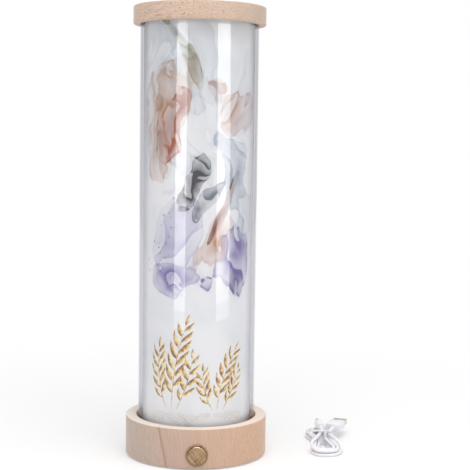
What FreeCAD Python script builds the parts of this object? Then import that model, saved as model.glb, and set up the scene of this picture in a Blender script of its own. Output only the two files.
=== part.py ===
import FreeCAD
import Part
import math
import os

# A table lamp whose printed drum turns inside a clear tube. Millimetres, +Z up.
# The origin is on the surface it stands on, under the tube's axis. The button faces -Y.

# Clear tube, a stock size that base, cap and drum follow
tube_r = 50.0
tube_wall = 3.0
tube_bare_length = 332.0

# Turned base
base_margin = 10.5
base_h = 33.0
base_break_top = 1.2
base_break_bottom = 1.8
recess_gap = 1.5
recess_depth = 10.0
deck_t = 4.0
deck_ledge = 8.1
pocket_wall = 12.5
rebate_wall = 6.5

# Bottom cover and feet
cover_t = 2.5
cover_gap = 0.3
cover_screw_inset = 9.5
cover_screw_count = 4
cover_screw_length = 9.0
vent_count = 8
vent_width = 2.0
vent_inner_r = 17.0
vent_outer_r = 31.0
foot_r = 6.0
foot_inset = 18.5
foot_count = 4
foot_proud = 1.0
foot_sunk = 0.8

# Cap
cap_margin = 6.0
cap_h = 15.0
cap_groove_depth = 8.0
cap_groove_gap = 0.3
cap_pocket_depth = 10.8
cap_seat_gap = 0.2
cap_break_top = 1.2
cap_break_bottom = 0.8

# Chassis moulding
chassis_floor_t = 3.0
chassis_rim_h = 2.0
chassis_rim_t = 2.0
chassis_tube_gap = 0.4
chassis_rib_h = 3.0
chassis_rib_t = 1.6
chassis_rib_angles = (100, 140, 220, 260)
chassis_screw_inset = 3.5
chassis_screw_angles = (60, 180, 300)
chassis_screw_length = 6.0
post_r = 9.0
post_bore_r = 7.05
post_h = 18.0
lead_hole_r = 5.0

# Gear pair, teeth of module 1 with the pinion's profile shifted outwards
module = 1.0
pressure_angle = math.radians(20)
pinion_teeth = 12
gear_rim_room = 16.2
profile_shift = 0.4
flank_backlash = 0.2
pinion_tip_cut = 0.1
gear_face = 4.2
gear_ring_t = 4.5

# Turntable
hub_t = 3.0
hub_running_gap = 0.05
hub_h = 12.0
washer_t = 0.8
washer_width = 4.0
washer_gap = 0.2
web_t = 2.0
gear_floor_gap = 1.4
pinion_web_gap = 0.4
skirt_t = 1.5
skirt_drop = 2.6
rim_rise = 3.0
web_rib_count = 3
web_rib_t = 1.6
web_window_land = 2.6

# Printed film and the ring that holds its top
film_t = 0.3
film_tube_gap = 1.0
film_floor_gap = 1.0
film_top_in_cap = 5.0
ring_t = 2.4
ring_h = 5.0
spoke_w = 4.0
spoke_h = 3.0
spoke_count = 3
ring_hub_r = 6.0
bush_wall = 1.4
pin_r = 2.0
pin_running_gap = 0.06
pin_proud = 0.5

# Light column
column_side = 10.0
column_wall = 1.0
column_fit = 0.1
foot_flange_t = 2.0
foot_spigot_h = 10.0
head_flange_t = 2.5
head_gap = 0.5
led_strip_w = 8.0
led_strip_t = 0.4
led_strip_end_gap = 8.0
led_pitch = 30.0
led_size = (3.5, 2.8, 1.0)

# Geared motor, its output shaft off centre
motor_r = 10.0
gearbox_h = 10.0
motor_can_r = 7.5
motor_can_h = 8.0
shaft_offset = 7.0
shaft_r = 1.5
shaft_running_gap = 0.05
shaft_sunk = 3.0
motor_boss_r = 3.5
motor_boss_gap = 0.2
ear_reach = 13.2
ear_r = 3.0
ear_t = 1.0
motor_screw_length = 4.0

# Push button in the front of the base
button_z = 11.5
bezel_r = 9.0
bezel_gap = 0.3
bezel_sunk = 3.0
bezel_proud = 0.6
bezel_floor_t = 1.2
bezel_lip = 0.8
button_gap = 0.3
button_proud = 1.9
button_bevel = 0.9
button_travel = 1.5
stem_r = 4.0
stem_running_gap = 0.06
barrel_r = 6.0
barrel_length = 12.5
barrel_gap = 0.2
nut_t = 2.5
nut_across_flats = 14.0
thread_gap = 0.05
switch_face_inset = 9.5
switch_face_r = 8.6
block_side = 13.0
block_length = 13.0
block_lap = 2.0
plunger_room = 3.0
switch_terminal_x = 3.0
switch_terminal_length = 4.0
terminal_t = 0.6
terminal_h = 2.4

# Supply socket in the back of the base
jack_z = 11.5
jack_flange_r = 5.6
jack_flange_t = 1.5
jack_sunk = 3.5
jack_barrel_r = 3.9
jack_barrel_length = 11.0
jack_socket_r = 1.78
jack_socket_depth = 10.5
jack_pin_r = 0.62
jack_block = (9.0, 6.0, 9.0)
jack_nut_t = 2.0
jack_nut_across_flats = 10.5
jack_face_r = 6.8
jack_terminal_x = 2.5
jack_terminal_length = 3.5

# Control board on the bottom cover
board_pocket_gap = 5.0
board_length = 28.0
board_width = 30.0
board_t = 1.6
board_standoff_h = 3.5
board_standoff_r = 2.5
board_hole_inset = 3.0
board_screw_r = 0.9
board_screw_length = 3.8
board_screw_head_h = 1.2
socket_length = 5.0
socket_width = 6.0
socket_h = 5.0
socket_step = 6.8

# Leads inside the base
lead_r = 0.6
lead_sides = 6
lead_run = 6.0
lead_rise = 7.0
lead_stagger = 2.0

# Loose supply cable, lying beside the lamp as a tied hank
cord_r = 1.5
cord_sides = 6
hank_stand_off = 51.5
hank_y = 20.0
hank_turns = 3.5
hank_reverse = 2.0
layer_step = 3.6
floor_gap = 0.1
waist_lift = 0.9
waist_half = 1.8
waist_step = 3.75
bulge_half = 5.8
bulge_step = 3.7
bulge_fan = 1.6
bulge_place = 25.0
tip_half = 33.6
tip_step = 3.7
tip_fan = 1.6

plug_level = 10.9
dc_x = 1.9
dc_relief_y = 11.5
dc_relief_length = 9.4
dc_relief_r = 2.3
dc_relief_ribs = 2
dc_body_r = 3.9
dc_body_length = 18.0
dc_collar_r = 3.3
dc_collar_length = 1.5
dc_sleeve_r = 1.75
dc_sleeve_wall = 0.35
dc_sleeve_length = 9.5
dc_pin_hole_r = 0.68

usb_x = 11.4
usb_y = 15.6
usb_turn = 22.0
usb_relief_length = 4.0
usb_relief_r = 2.3
usb_body = (14.0, 17.0, 7.6)
usb_body_round = 1.6
usb_shell_size = (12.0, 12.0, 4.5)
usb_shell_wall = 0.3
usb_tongue_t = 1.9

tie_width = 3.0
tie_t = 0.6
tie_gap = 0.3

# Places that follow from those sizes
base_r = tube_r + base_margin
recess_r = tube_r + recess_gap
pocket_r = base_r - pocket_wall
rebate_r = base_r - rebate_wall
cover_screw_ring_r = base_r - cover_screw_inset
foot_ring_r = base_r - foot_inset
cap_r = tube_r + cap_margin
base_z = foot_proud
base_top = base_z + base_h
recess_z = base_top - recess_depth
deck_z = recess_z - deck_t
cover_top = base_z + cover_t
tube_bore_r = tube_r - tube_wall
cap_z = base_top + tube_bare_length
cap_top = cap_z + cap_h
tube_top = cap_z + cap_groove_depth - cap_seat_gap
chassis_r = tube_bore_r - chassis_tube_gap
chassis_top = recess_z + chassis_floor_t
deck_opening_r = chassis_r - deck_ledge
chassis_screw_ring_r = deck_opening_r + chassis_screw_inset
film_r = tube_bore_r - film_tube_gap
rim_r = film_r - film_t
drum_teeth = 2 * round((rim_r - skirt_t - gear_rim_room) / module)
gear_r = module * drum_teeth / 2
pinion_r = module * pinion_teeth / 2
gear_centres = gear_r + pinion_r
motor_x = gear_centres - shaft_offset
hub_bore_r = post_r + hub_running_gap
hub_z = chassis_top + washer_t + washer_gap
gear_z = chassis_top + gear_floor_gap
web_z = gear_z + gear_face
web_window_r = (rim_r - skirt_t - gear_r) / 2 - web_window_land
film_z = chassis_top + chassis_rim_h + film_floor_gap
film_top = cap_z + film_top_in_cap
column_z = chassis_top + post_h - chassis_floor_t + foot_flange_t
ring_z = film_top - ring_h
head_top = ring_z - head_gap
column_top = head_top - head_flange_t
board_z = cover_top + board_standoff_h
board_top = board_z + board_t
board_x = (-pocket_r + board_pocket_gap, -pocket_r + board_pocket_gap + board_length)
board_y = (-board_width / 2, board_width / 2)
socket_top = board_top + socket_h
switch_face_y = base_r - switch_face_inset
front_face_y = -(base_r - bezel_sunk)
back_face_y = base_r - jack_sunk
button_height = base_z + button_z
jack_height = base_z + jack_z
hank_x = base_r + hank_stand_off
usb_axis = (math.sin(math.radians(usb_turn)), math.cos(math.radians(usb_turn)))
made = {}


def vec(x, y, z):
    return FreeCAD.Vector(x, y, z)


def up_cylinder(radius, low, high, x=0.0, y=0.0):
    return Part.makeCylinder(radius, high - low, vec(x, y, low), vec(0, 0, 1))


def up_ring(outer, inner, low, high, x=0.0, y=0.0):
    return up_cylinder(outer, low, high, x, y).cut(up_cylinder(inner, low, high, x, y))


def along_y(radius, start, end, x, z):
    return Part.makeCylinder(radius, end - start, vec(x, start, z), vec(0, 1, 0))


def block(low, high):
    size = [high[i] - low[i] for i in range(3)]
    return Part.makeBox(size[0], size[1], size[2], vec(*low))


def turned(outline, axis_x=0.0, axis_y=0.0):
    corners = [vec(r, 0, z) for r, z in outline]
    face = Part.Face(Part.makePolygon(corners + corners[:1]))
    solid = face.revolve(vec(0, 0, 0), vec(0, 0, 1), 360)
    solid.translate(vec(axis_x, axis_y, 0))
    return solid


def break_edge(shape, width, radius, height):
    """Chamfer the circular edge of a radius that lies at a height."""
    chosen = []
    for edge in shape.Edges:
        if not isinstance(edge.Curve, Part.Circle):
            continue
        if abs(edge.Curve.Radius - radius) < 0.01 and abs(edge.Curve.Center.z - height) < 0.01:
            chosen.append(edge)
    return shape.makeChamfer(width, chosen)


def ring_places(radius, count, first_angle=0.0):
    step = 360.0 / count
    return spots(radius, [first_angle + step * i for i in range(count)])


def spots(radius, angles):
    places = []
    for angle in angles:
        turn = math.radians(angle)
        places.append((radius * math.cos(turn), radius * math.sin(turn)))
    return places


def fused(shapes):
    whole = shapes[0]
    for shape in shapes[1:]:
        whole = whole.fuse(shape)
    return whole.removeSplitter()


def group(shapes):
    return Part.makeCompound(shapes)


def hexagon(across_flats, low, high, x, z):
    """A hexagonal prism that lies along Y."""
    corner = across_flats / math.sqrt(3)
    points = []
    for i in range(7):
        turn = math.radians(60 * i + 30)
        points.append(vec(x + corner * math.cos(turn), low, z + corner * math.sin(turn)))
    face = Part.Face(Part.makePolygon(points))
    return face.extrude(vec(0, high - low, 0))


def sunk_screw(x, y, head_z, length, shank_r, head_r, head_h, up):
    """A screw whose round head is flush at head_z, pointing up or down."""
    way = 1.0 if up else -1.0
    head = Part.makeCylinder(head_r, head_h, vec(x, y, head_z), vec(0, 0, way))
    shank = Part.makeCylinder(shank_r, length, vec(x, y, head_z), vec(0, 0, way))
    return head.fuse(shank)


def screw_hole(x, y, face_z, through, shank_r, head_r, head_h, up):
    """The matching hole: a counterbore at the face and a clearance hole behind it."""
    way = 1.0 if up else -1.0
    sunk = Part.makeCylinder(head_r + screw_gap, head_h, vec(x, y, face_z), vec(0, 0, way))
    hole = Part.makeCylinder(shank_r + screw_gap, through, vec(x, y, face_z), vec(0, 0, way))
    return sunk.fuse(hole)


cover_screw = {"shank_r": 1.3, "head_r": 2.5, "head_h": 1.3}
chassis_screw = {"shank_r": 1.1, "head_r": 2.1, "head_h": 1.1}
motor_screw = {"shank_r": 1.0, "head_r": 1.9, "head_h": 1.0}
screw_gap = 0.1


# Turned wood


def make_base_shell():
    outline = [
        (rebate_r, base_z),
        (base_r, base_z),
        (base_r, base_top),
        (recess_r, base_top),
        (recess_r, recess_z),
        (deck_opening_r, recess_z),
        (deck_opening_r, deck_z),
        (pocket_r, deck_z),
        (pocket_r, cover_top),
        (rebate_r, cover_top),
    ]
    shell = turned(outline)
    shell = break_edge(shell, base_break_top, base_r, base_top)
    shell = break_edge(shell, base_break_bottom, base_r, base_z)
    outside = -base_r - 1
    shell = shell.cut(along_y(bezel_r + bezel_gap, outside, front_face_y, 0, button_height))
    shell = shell.cut(along_y(barrel_r + barrel_gap, outside, -pocket_r + 3, 0, button_height))
    shell = shell.cut(along_y(switch_face_r, -switch_face_y, -pocket_r + 3, 0, button_height))
    shell = shell.cut(along_y(jack_flange_r + bezel_gap, back_face_y, base_r + 1, 0, jack_height))
    shell = shell.cut(along_y(jack_barrel_r + barrel_gap, pocket_r - 3, base_r + 1, 0, jack_height))
    shell = shell.cut(along_y(jack_face_r, pocket_r - 3, switch_face_y, 0, jack_height))
    for x, y in ring_places(cover_screw_ring_r, cover_screw_count, 45):
        pilot = cover_screw["shank_r"]
        shell = shell.cut(up_cylinder(pilot, cover_top, base_z + cover_screw_length + 1, x, y))
    for x, y in spots(chassis_screw_ring_r, chassis_screw_angles):
        pilot = chassis_screw["shank_r"]
        shell = shell.cut(up_cylinder(pilot, deck_z, recess_z, x, y))
    return shell


def make_lid():
    groove_r = tube_r + cap_groove_gap
    pocket = tube_bore_r - cap_groove_gap
    outline = [
        (groove_r, cap_z),
        (cap_r, cap_z),
        (cap_r, cap_top),
        (0, cap_top),
        (0, cap_z + cap_pocket_depth),
        (pocket, cap_z + cap_pocket_depth),
        (pocket, cap_z + cap_groove_depth),
        (groove_r, cap_z + cap_groove_depth),
    ]
    lid = turned(outline)
    lid = break_edge(lid, cap_break_top, cap_r, cap_top)
    return break_edge(lid, cap_break_bottom, cap_r, cap_z)


# Bottom cover


def board_hole_places():
    xs = (board_x[0] + board_hole_inset, board_x[1] - board_hole_inset)
    ys = (board_y[0] + board_hole_inset, board_y[1] - board_hole_inset)
    return [(x, y) for x in xs for y in ys]


def make_bottom_cover():
    cover = up_cylinder(rebate_r - cover_gap, base_z, cover_top)
    for i in range(vent_count):
        slot = block((vent_inner_r, -vent_width / 2, base_z - 1), (vent_outer_r, vent_width / 2, cover_top + 1))
        slot.rotate(vec(0, 0, 0), vec(0, 0, 1), 360.0 / vent_count * (i + 0.5))
        cover = cover.cut(slot)
    for x, y in board_hole_places():
        post = up_cylinder(board_standoff_r, cover_top, board_z, x, y)
        cover = cover.fuse(post)
        cover = cover.cut(up_cylinder(board_screw_r, cover_top, board_z, x, y))
    for x, y in ring_places(cover_screw_ring_r, cover_screw_count, 45):
        cover = cover.cut(screw_hole(x, y, base_z, cover_t + 1, up=True, **cover_screw))
    for x, y in ring_places(foot_ring_r, foot_count):
        cover = cover.cut(up_cylinder(foot_r, base_z - 1, base_z + foot_sunk, x, y))
    return cover.removeSplitter()


def make_cover_screws():
    screws = []
    for x, y in ring_places(cover_screw_ring_r, cover_screw_count, 45):
        screws.append(sunk_screw(x, y, base_z, cover_screw_length, up=True, **cover_screw))
    return group(screws)


def make_rubber_feet():
    feet = []
    for x, y in ring_places(foot_ring_r, foot_count):
        feet.append(up_cylinder(foot_r, 0, base_z + foot_sunk, x, y))
    return group(feet)


# Tube


def make_clear_tube():
    return up_ring(tube_r, tube_bore_r, recess_z, tube_top)


# Chassis: the floor that carries motor, post and tube


def make_chassis():
    floor = up_cylinder(chassis_r, recess_z, chassis_top)
    rim = up_ring(chassis_r, chassis_r - chassis_rim_t, recess_z, chassis_top + chassis_rim_h)
    post = up_cylinder(post_r, recess_z, recess_z + post_h)
    body = fused([floor, rim, post])
    for angle in chassis_rib_angles:
        low = recess_z - chassis_rib_h
        rib = block((lead_hole_r + 3, -chassis_rib_t / 2, low), (deck_opening_r - 1, chassis_rib_t / 2, recess_z))
        rib.rotate(vec(0, 0, 0), vec(0, 0, 1), angle)
        body = body.fuse(rib)
    body = body.cut(up_cylinder(post_bore_r, chassis_top, recess_z + post_h + 1))
    body = body.cut(up_cylinder(lead_hole_r, recess_z - 1, chassis_top))
    body = body.cut(up_cylinder(motor_boss_r + motor_boss_gap, recess_z, chassis_top, gear_centres))
    for x, y in spots(chassis_screw_ring_r, chassis_screw_angles):
        body = body.cut(screw_hole(x, y, chassis_top, chassis_floor_t, up=False, **chassis_screw))
    for x, y in ((motor_x, ear_reach), (motor_x, -ear_reach)):
        body = body.cut(screw_hole(x, y, chassis_top, chassis_floor_t, up=False, **motor_screw))
    return body.removeSplitter()


def make_chassis_screws():
    screws = []
    for x, y in spots(chassis_screw_ring_r, chassis_screw_angles):
        screws.append(sunk_screw(x, y, chassis_top, chassis_screw_length, up=False, **chassis_screw))
    return group(screws)


def make_thrust_washer():
    return up_ring(hub_bore_r + washer_width, hub_bore_r, chassis_top, chassis_top + washer_t)


# Gears


def involute_point(base_radius, radius, centre_angle):
    """A point of the involute at a radius, for a flank that starts at centre_angle."""
    roll = math.acos(min(1.0, base_radius / radius))
    turn = centre_angle + math.tan(roll) - roll
    return vec(radius * math.cos(turn), radius * math.sin(turn), 0)


def gear_outline(teeth, shift, tip_cut, first_angle):
    """One closed wire of involute teeth. first_angle is where a tooth's middle points."""
    pitch_radius = module * teeth / 2
    base_radius = pitch_radius * math.cos(pressure_angle)
    tip_radius = pitch_radius + module * (1 + shift) - tip_cut
    root_radius = pitch_radius - module * (1.25 - shift)
    start_radius = max(base_radius, root_radius)
    thickness = module * (math.pi / 2 + 2 * shift * math.tan(pressure_angle)) - flank_backlash / 2
    half_tooth = thickness / (2 * pitch_radius) + math.tan(pressure_angle) - pressure_angle
    middle_radius = (start_radius + tip_radius) / 2
    edges = []
    first = None
    last = None
    for i in range(teeth):
        middle = first_angle + 2 * math.pi * i / teeth
        turn_back = FreeCAD.Rotation(vec(0, 0, 1), math.degrees(middle))
        rise = [involute_point(base_radius, r, -half_tooth) for r in (start_radius, middle_radius, tip_radius)]
        fall = [vec(p.x, -p.y, 0) for p in reversed(rise)]
        root_in = vec(root_radius * math.cos(-half_tooth), root_radius * math.sin(-half_tooth), 0)
        if root_radius >= base_radius:
            root_in = rise[0]
        root_out = vec(root_in.x, -root_in.y, 0)
        rise = [turn_back.multVec(p) for p in rise]
        fall = [turn_back.multVec(p) for p in fall]
        root_in = turn_back.multVec(root_in)
        root_out = turn_back.multVec(root_out)
        tip = turn_back.multVec(vec(tip_radius, 0, 0))
        if last is None:
            first = root_in
        else:
            edges.append(root_arc(last, root_in, root_radius, middle - math.pi / teeth))
        if root_in.distanceToPoint(rise[0]) > 0.001:
            edges.append(Part.LineSegment(root_in, rise[0]).toShape())
        edges.append(Part.Arc(rise[0], rise[1], rise[2]).toShape())
        edges.append(Part.Arc(rise[2], tip, fall[0]).toShape())
        edges.append(Part.Arc(fall[0], fall[1], fall[2]).toShape())
        if root_out.distanceToPoint(fall[2]) > 0.001:
            edges.append(Part.LineSegment(fall[2], root_out).toShape())
        last = root_out
    edges.append(root_arc(last, first, root_radius, first_angle - math.pi / teeth))
    return Part.Wire(edges)


def root_arc(start, end, radius, middle_angle):
    middle = vec(radius * math.cos(middle_angle), radius * math.sin(middle_angle), 0)
    return Part.Arc(start, middle, end).toShape()


def make_turntable():
    teeth = Part.Face(gear_outline(drum_teeth, -profile_shift, 0.0, 0.0)).extrude(vec(0, 0, gear_face))
    teeth.translate(vec(0, 0, gear_z))
    ring_inner = gear_r - gear_ring_t - module
    teeth = teeth.cut(up_cylinder(ring_inner, gear_z, web_z))
    hub = up_cylinder(hub_bore_r + hub_t, hub_z, hub_z + hub_h)
    web = up_cylinder(rim_r, web_z, web_z + web_t)
    skirt_low = web_z - skirt_drop
    skirt = up_ring(rim_r, rim_r - skirt_t, skirt_low, web_z + web_t + rim_rise)
    table = fused([teeth, hub, web, skirt])
    rib_top = web_z + web_t + rim_rise
    for i in range(web_rib_count):
        rib = block((hub_bore_r + 1, -web_rib_t / 2, web_z), (rim_r - skirt_t / 2, web_rib_t / 2, rib_top))
        rib.rotate(vec(0, 0, 0), vec(0, 0, 1), 360.0 / web_rib_count * i)
        table = table.fuse(rib)
    window_ring = (gear_r + rim_r - skirt_t) / 2
    for x, y in ring_places(window_ring, web_rib_count, 180.0 / web_rib_count):
        table = table.cut(up_cylinder(web_window_r, web_z, web_z + web_t, x, y))
    table = table.cut(up_cylinder(hub_bore_r, hub_z - 1, hub_z + hub_h + 1))
    return table.removeSplitter()


def make_drive_pinion():
    half_pitch = math.pi / pinion_teeth
    outline = gear_outline(pinion_teeth, profile_shift, pinion_tip_cut, math.pi + half_pitch)
    height = gear_face - pinion_web_gap
    pinion = Part.Face(outline).extrude(vec(0, 0, height))
    pinion.translate(vec(gear_centres, 0, gear_z))
    return pinion.cut(up_cylinder(shaft_r, gear_z - 1, web_z + 1, gear_centres))


def make_motor_shaft():
    return up_cylinder(shaft_r, recess_z - shaft_sunk, web_z - pinion_web_gap, gear_centres)


def make_gear_motor():
    gearbox = up_cylinder(motor_r, recess_z - gearbox_h, recess_z, motor_x)
    can = up_cylinder(motor_can_r, recess_z - gearbox_h - motor_can_h, recess_z - gearbox_h, motor_x)
    can = break_edge(can, 0.8, motor_can_r, recess_z - gearbox_h - motor_can_h)
    boss = up_cylinder(motor_boss_r, recess_z, chassis_top, gear_centres)
    parts = [gearbox, can, boss]
    for side in (1, -1):
        ear = up_cylinder(ear_r, recess_z - ear_t, recess_z, motor_x, side * ear_reach)
        low, high = sorted((0.0, side * ear_reach))
        bar = block((motor_x - ear_r, low, recess_z - ear_t), (motor_x + ear_r, high, recess_z))
        parts.append(ear.fuse(bar))
    motor = fused(parts)
    for side in (1, -1):
        hole = up_cylinder(motor_screw["shank_r"], recess_z - ear_t, recess_z, motor_x, side * ear_reach)
        motor = motor.cut(hole)
    bore = shaft_r + shaft_running_gap
    motor = motor.cut(up_cylinder(bore, recess_z - shaft_sunk - 0.3, chassis_top + 1, gear_centres))
    return motor


def make_motor_screws():
    screws = []
    for side in (1, -1):
        screws.append(
            sunk_screw(motor_x, side * ear_reach, chassis_top, motor_screw_length, up=False, **motor_screw)
        )
    return group(screws)


# Film and its top ring


def make_print_film():
    return up_ring(film_r, rim_r, film_z, film_top)


def make_drum_top_ring():
    ring = up_ring(rim_r, rim_r - ring_t, ring_z, film_top)
    hub = up_cylinder(ring_hub_r, ring_z, film_top)
    parts = [ring, hub]
    for i in range(spoke_count):
        spoke = block((0, -spoke_w / 2, ring_z), (rim_r - ring_t / 2, spoke_w / 2, ring_z + spoke_h))
        spoke.rotate(vec(0, 0, 0), vec(0, 0, 1), 360.0 / spoke_count * i + 90)
        parts.append(spoke)
    body = fused(parts)
    return body.cut(up_cylinder(pin_r + pin_running_gap + bush_wall, ring_z, film_top))


def make_top_bush():
    bore = pin_r + pin_running_gap
    return up_ring(bore + bush_wall, bore, ring_z, film_top)


# Light column


def make_column_foot():
    plug_r = post_bore_r - column_fit / 2
    post_top = recess_z + post_h
    plug = up_cylinder(plug_r, chassis_top, post_top)
    flange = up_cylinder(post_r, post_top, column_z)
    half = column_side / 2 - column_wall - column_fit / 2
    spigot = block((-half, -half, column_z), (half, half, column_z + foot_spigot_h))
    foot = fused([plug, flange, spigot])
    wire_r = half - 1.4
    return foot.cut(up_cylinder(wire_r, chassis_top - 1, column_z + foot_spigot_h + 1))


def make_light_column():
    outer = column_side / 2
    inner = outer - column_wall
    body = block((-outer, -outer, column_z), (outer, outer, column_top))
    return body.cut(block((-inner, -inner, column_z), (inner, inner, column_top)))


def make_column_head():
    half = column_side / 2 - column_wall - column_fit / 2
    spigot = block((-half, -half, column_top - foot_spigot_h), (half, half, column_top))
    flange = up_cylinder(post_r, column_top, head_top)
    head = fused([spigot, flange])
    return head.cut(up_cylinder(pin_r, column_top - foot_spigot_h + 2, head_top + 1))


def make_pivot_pin():
    pin = up_cylinder(pin_r, column_top - foot_spigot_h + 2, film_top + pin_proud)
    return break_edge(pin, 0.4, pin_r, film_top + pin_proud)


def on_four_faces(make_one):
    shapes = []
    for i in range(4):
        for shape in make_one():
            shape.rotate(vec(0, 0, 0), vec(0, 0, 1), 90 * i)
            shapes.append(shape)
    return group(shapes)


def one_led_strip():
    low = column_z + led_strip_end_gap
    high = column_top - led_strip_end_gap
    near = column_side / 2
    return [block((near, -led_strip_w / 2, low), (near + led_strip_t, led_strip_w / 2, high))]


def one_led_row():
    low = column_z + led_strip_end_gap
    room = column_top - led_strip_end_gap - low
    count = int(room / led_pitch)
    start = low + (room - (count - 1) * led_pitch) / 2
    near = column_side / 2 + led_strip_t
    chips = []
    for i in range(count):
        z = start + led_pitch * i
        long_half = led_size[0] / 2
        wide_half = led_size[1] / 2
        chips.append(block((near, -wide_half, z - long_half), (near + led_size[2], wide_half, z + long_half)))
    return chips


# Push button and switch


def make_switch_body():
    front = -base_r - bezel_proud
    head = along_y(bezel_r, front, front_face_y, 0, button_height)
    barrel = along_y(barrel_r, front_face_y, front_face_y + barrel_length, 0, button_height)
    body = head.fuse(barrel)
    rim = [e for e in body.Edges if abs(e.BoundBox.YMax - front) < 0.001]
    body = body.makeChamfer(0.3, rim)
    body = body.cut(along_y(bezel_r - bezel_lip, front - 1, front_face_y - bezel_floor_t, 0, button_height))
    bore = stem_r + stem_running_gap
    return body.cut(along_y(bore, front, front_face_y + barrel_length + 1, 0, button_height))


def make_button_cap():
    radius = bezel_r - bezel_lip - button_gap
    front = -base_r - bezel_proud - button_proud
    back = front_face_y - bezel_floor_t - button_travel - 0.4
    disc = along_y(radius, front, back, 0, button_height)
    edge = [e for e in disc.Edges if abs(e.BoundBox.YMax - front) < 0.001]
    disc = disc.makeChamfer(button_bevel, edge)
    stem_end = front_face_y + barrel_length - 0.5
    return disc.fuse(along_y(stem_r, back, stem_end, 0, button_height))


def make_switch_nut():
    nut = hexagon(nut_across_flats, -switch_face_y, -switch_face_y + nut_t, 0, button_height)
    return nut.cut(along_y(barrel_r + thread_gap, -switch_face_y - 1, -switch_face_y + nut_t + 1, 0, button_height))


def make_contact_block():
    barrel_end = front_face_y + barrel_length
    low = barrel_end - block_lap
    half = block_side / 2
    body = block((-half, low, button_height - half), (half, low + block_length, button_height + half))
    body = body.cut(along_y(barrel_r + thread_gap, low - 1, barrel_end, 0, button_height))
    return body.cut(along_y(stem_r + 0.5, low, barrel_end + plunger_room, 0, button_height))


def terminal_blade(x, start, end, level):
    low = (x - terminal_t / 2, start, level - terminal_h / 2)
    return block(low, (x + terminal_t / 2, end, level + terminal_h / 2))


def make_switch_terminals():
    start = front_face_y + barrel_length - block_lap + block_length
    end = start + switch_terminal_length
    return group([terminal_blade(x, start, end, button_height) for x in (-switch_terminal_x, switch_terminal_x)])


# Supply socket


def make_jack_body():
    flange = along_y(jack_flange_r, back_face_y, back_face_y + jack_flange_t, 0, jack_height)
    barrel_end = back_face_y - jack_barrel_length
    barrel = along_y(jack_barrel_r, barrel_end, back_face_y, 0, jack_height)
    wide, long, tall = jack_block
    low = (-wide / 2, barrel_end - long, jack_height - tall / 2)
    high = (wide / 2, barrel_end, jack_height + tall / 2)
    body = fused([flange, barrel, block(low, high)])
    mouth = back_face_y + jack_flange_t
    return body.cut(along_y(jack_socket_r, mouth - jack_socket_depth, mouth + 1, 0, jack_height))


def make_jack_pin():
    mouth = back_face_y + jack_flange_t
    return along_y(jack_pin_r, mouth - jack_socket_depth, mouth - 1, 0, jack_height)


def make_jack_nut():
    low = switch_face_y - jack_nut_t
    nut = hexagon(jack_nut_across_flats, low, switch_face_y, 0, jack_height)
    return nut.cut(along_y(jack_barrel_r + thread_gap, low - 1, switch_face_y + 1, 0, jack_height))


def make_jack_terminals():
    end = back_face_y - jack_barrel_length - jack_block[1]
    start = end - jack_terminal_length
    return group([terminal_blade(x, start, end, jack_height) for x in (-jack_terminal_x, jack_terminal_x)])


# Control board


def make_control_board():
    board = block((board_x[0], board_y[0], board_z), (board_x[1], board_y[1], board_z + board_t))
    for x, y in board_hole_places():
        board = board.cut(up_cylinder(board_screw_r + 0.1, board_z, board_z + board_t, x, y))
    return board


def make_board_screws():
    screws = []
    for x, y in board_hole_places():
        shank = up_cylinder(board_screw_r, board_top - board_screw_length, board_top, x, y)
        head = up_cylinder(board_screw_r * 1.9, board_top, board_top + board_screw_head_h, x, y)
        screws.append(shank.fuse(head))
    return group(screws)


def make_board_chips():
    top = board_top
    middle_x = sum(board_x) / 2
    chip = block((middle_x - 5, -2, top), (middle_x + 5, 2, top + 1.7))
    small = block((middle_x - 9.5, 5, top), (middle_x - 5.5, 8, top + 1.2))
    can_a = up_cylinder(2.5, top, top + 5.5, middle_x + 2, 9)
    can_b = up_cylinder(2.0, top, top + 5.0, middle_x - 4, -9)
    return group([chip, small, can_a, can_b])


def socket_places():
    x = board_x[1] - socket_length / 2
    return [(x, -socket_step), (x, 0.0), (x, socket_step)]


def make_board_sockets():
    sockets = []
    for x, y in socket_places():
        low = (x - socket_length / 2, y - socket_width / 2, board_top)
        high = (x + socket_length / 2, y + socket_width / 2, socket_top)
        sockets.append(block(low, high))
    return group(sockets)


# Leads and the cable


def arc_from(start, tangent, end):
    """The arc that leaves start along tangent and ends at end."""
    chord = end - start
    length = chord.Length
    along = vec(chord.x, chord.y, chord.z) * (1.0 / length)
    side = tangent - along * tangent.dot(along)
    if side.Length < 0.0005:
        return Part.LineSegment(start, end).toShape()
    lean = math.acos(max(-1.0, min(1.0, tangent.dot(along))))
    side = side * (1.0 / side.Length)
    middle = (start + end) * 0.5 + side * (length / 2 * math.tan(lean / 2))
    return Part.Arc(start, middle, end).toShape()


def biarc(start, start_way, end, end_way):
    """Two arcs, tangent to each other, from one point and direction to another."""
    gap = end - start
    both = start_way + end_way
    share = 2 * (1 - start_way.dot(end_way))
    if share < 0.000001:
        reach = gap.Length ** 2 / (2 * gap.dot(both))
    else:
        part = gap.dot(both)
        reach = (math.sqrt(part ** 2 + share * gap.Length ** 2) - part) / share
    middle = (start + end + (start_way - end_way) * reach) * 0.5
    middle_way = middle - start - start_way * reach
    middle_way = middle_way * (1.0 / middle_way.Length)
    return [arc_from(start, start_way, middle), arc_from(middle, middle_way, end)]


def flat_sided_ring(middle, way, radius, sides):
    """A regular polygon across a direction, its corners on a circle of the radius."""
    turn = FreeCAD.Rotation(vec(0, 0, 1), way)
    corners = []
    for i in range(sides + 1):
        angle = 2 * math.pi * (i + 0.5) / sides
        corners.append(middle + turn.multVec(vec(radius * math.cos(angle), radius * math.sin(angle), 0)))
    return Part.makePolygon(corners)


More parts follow.
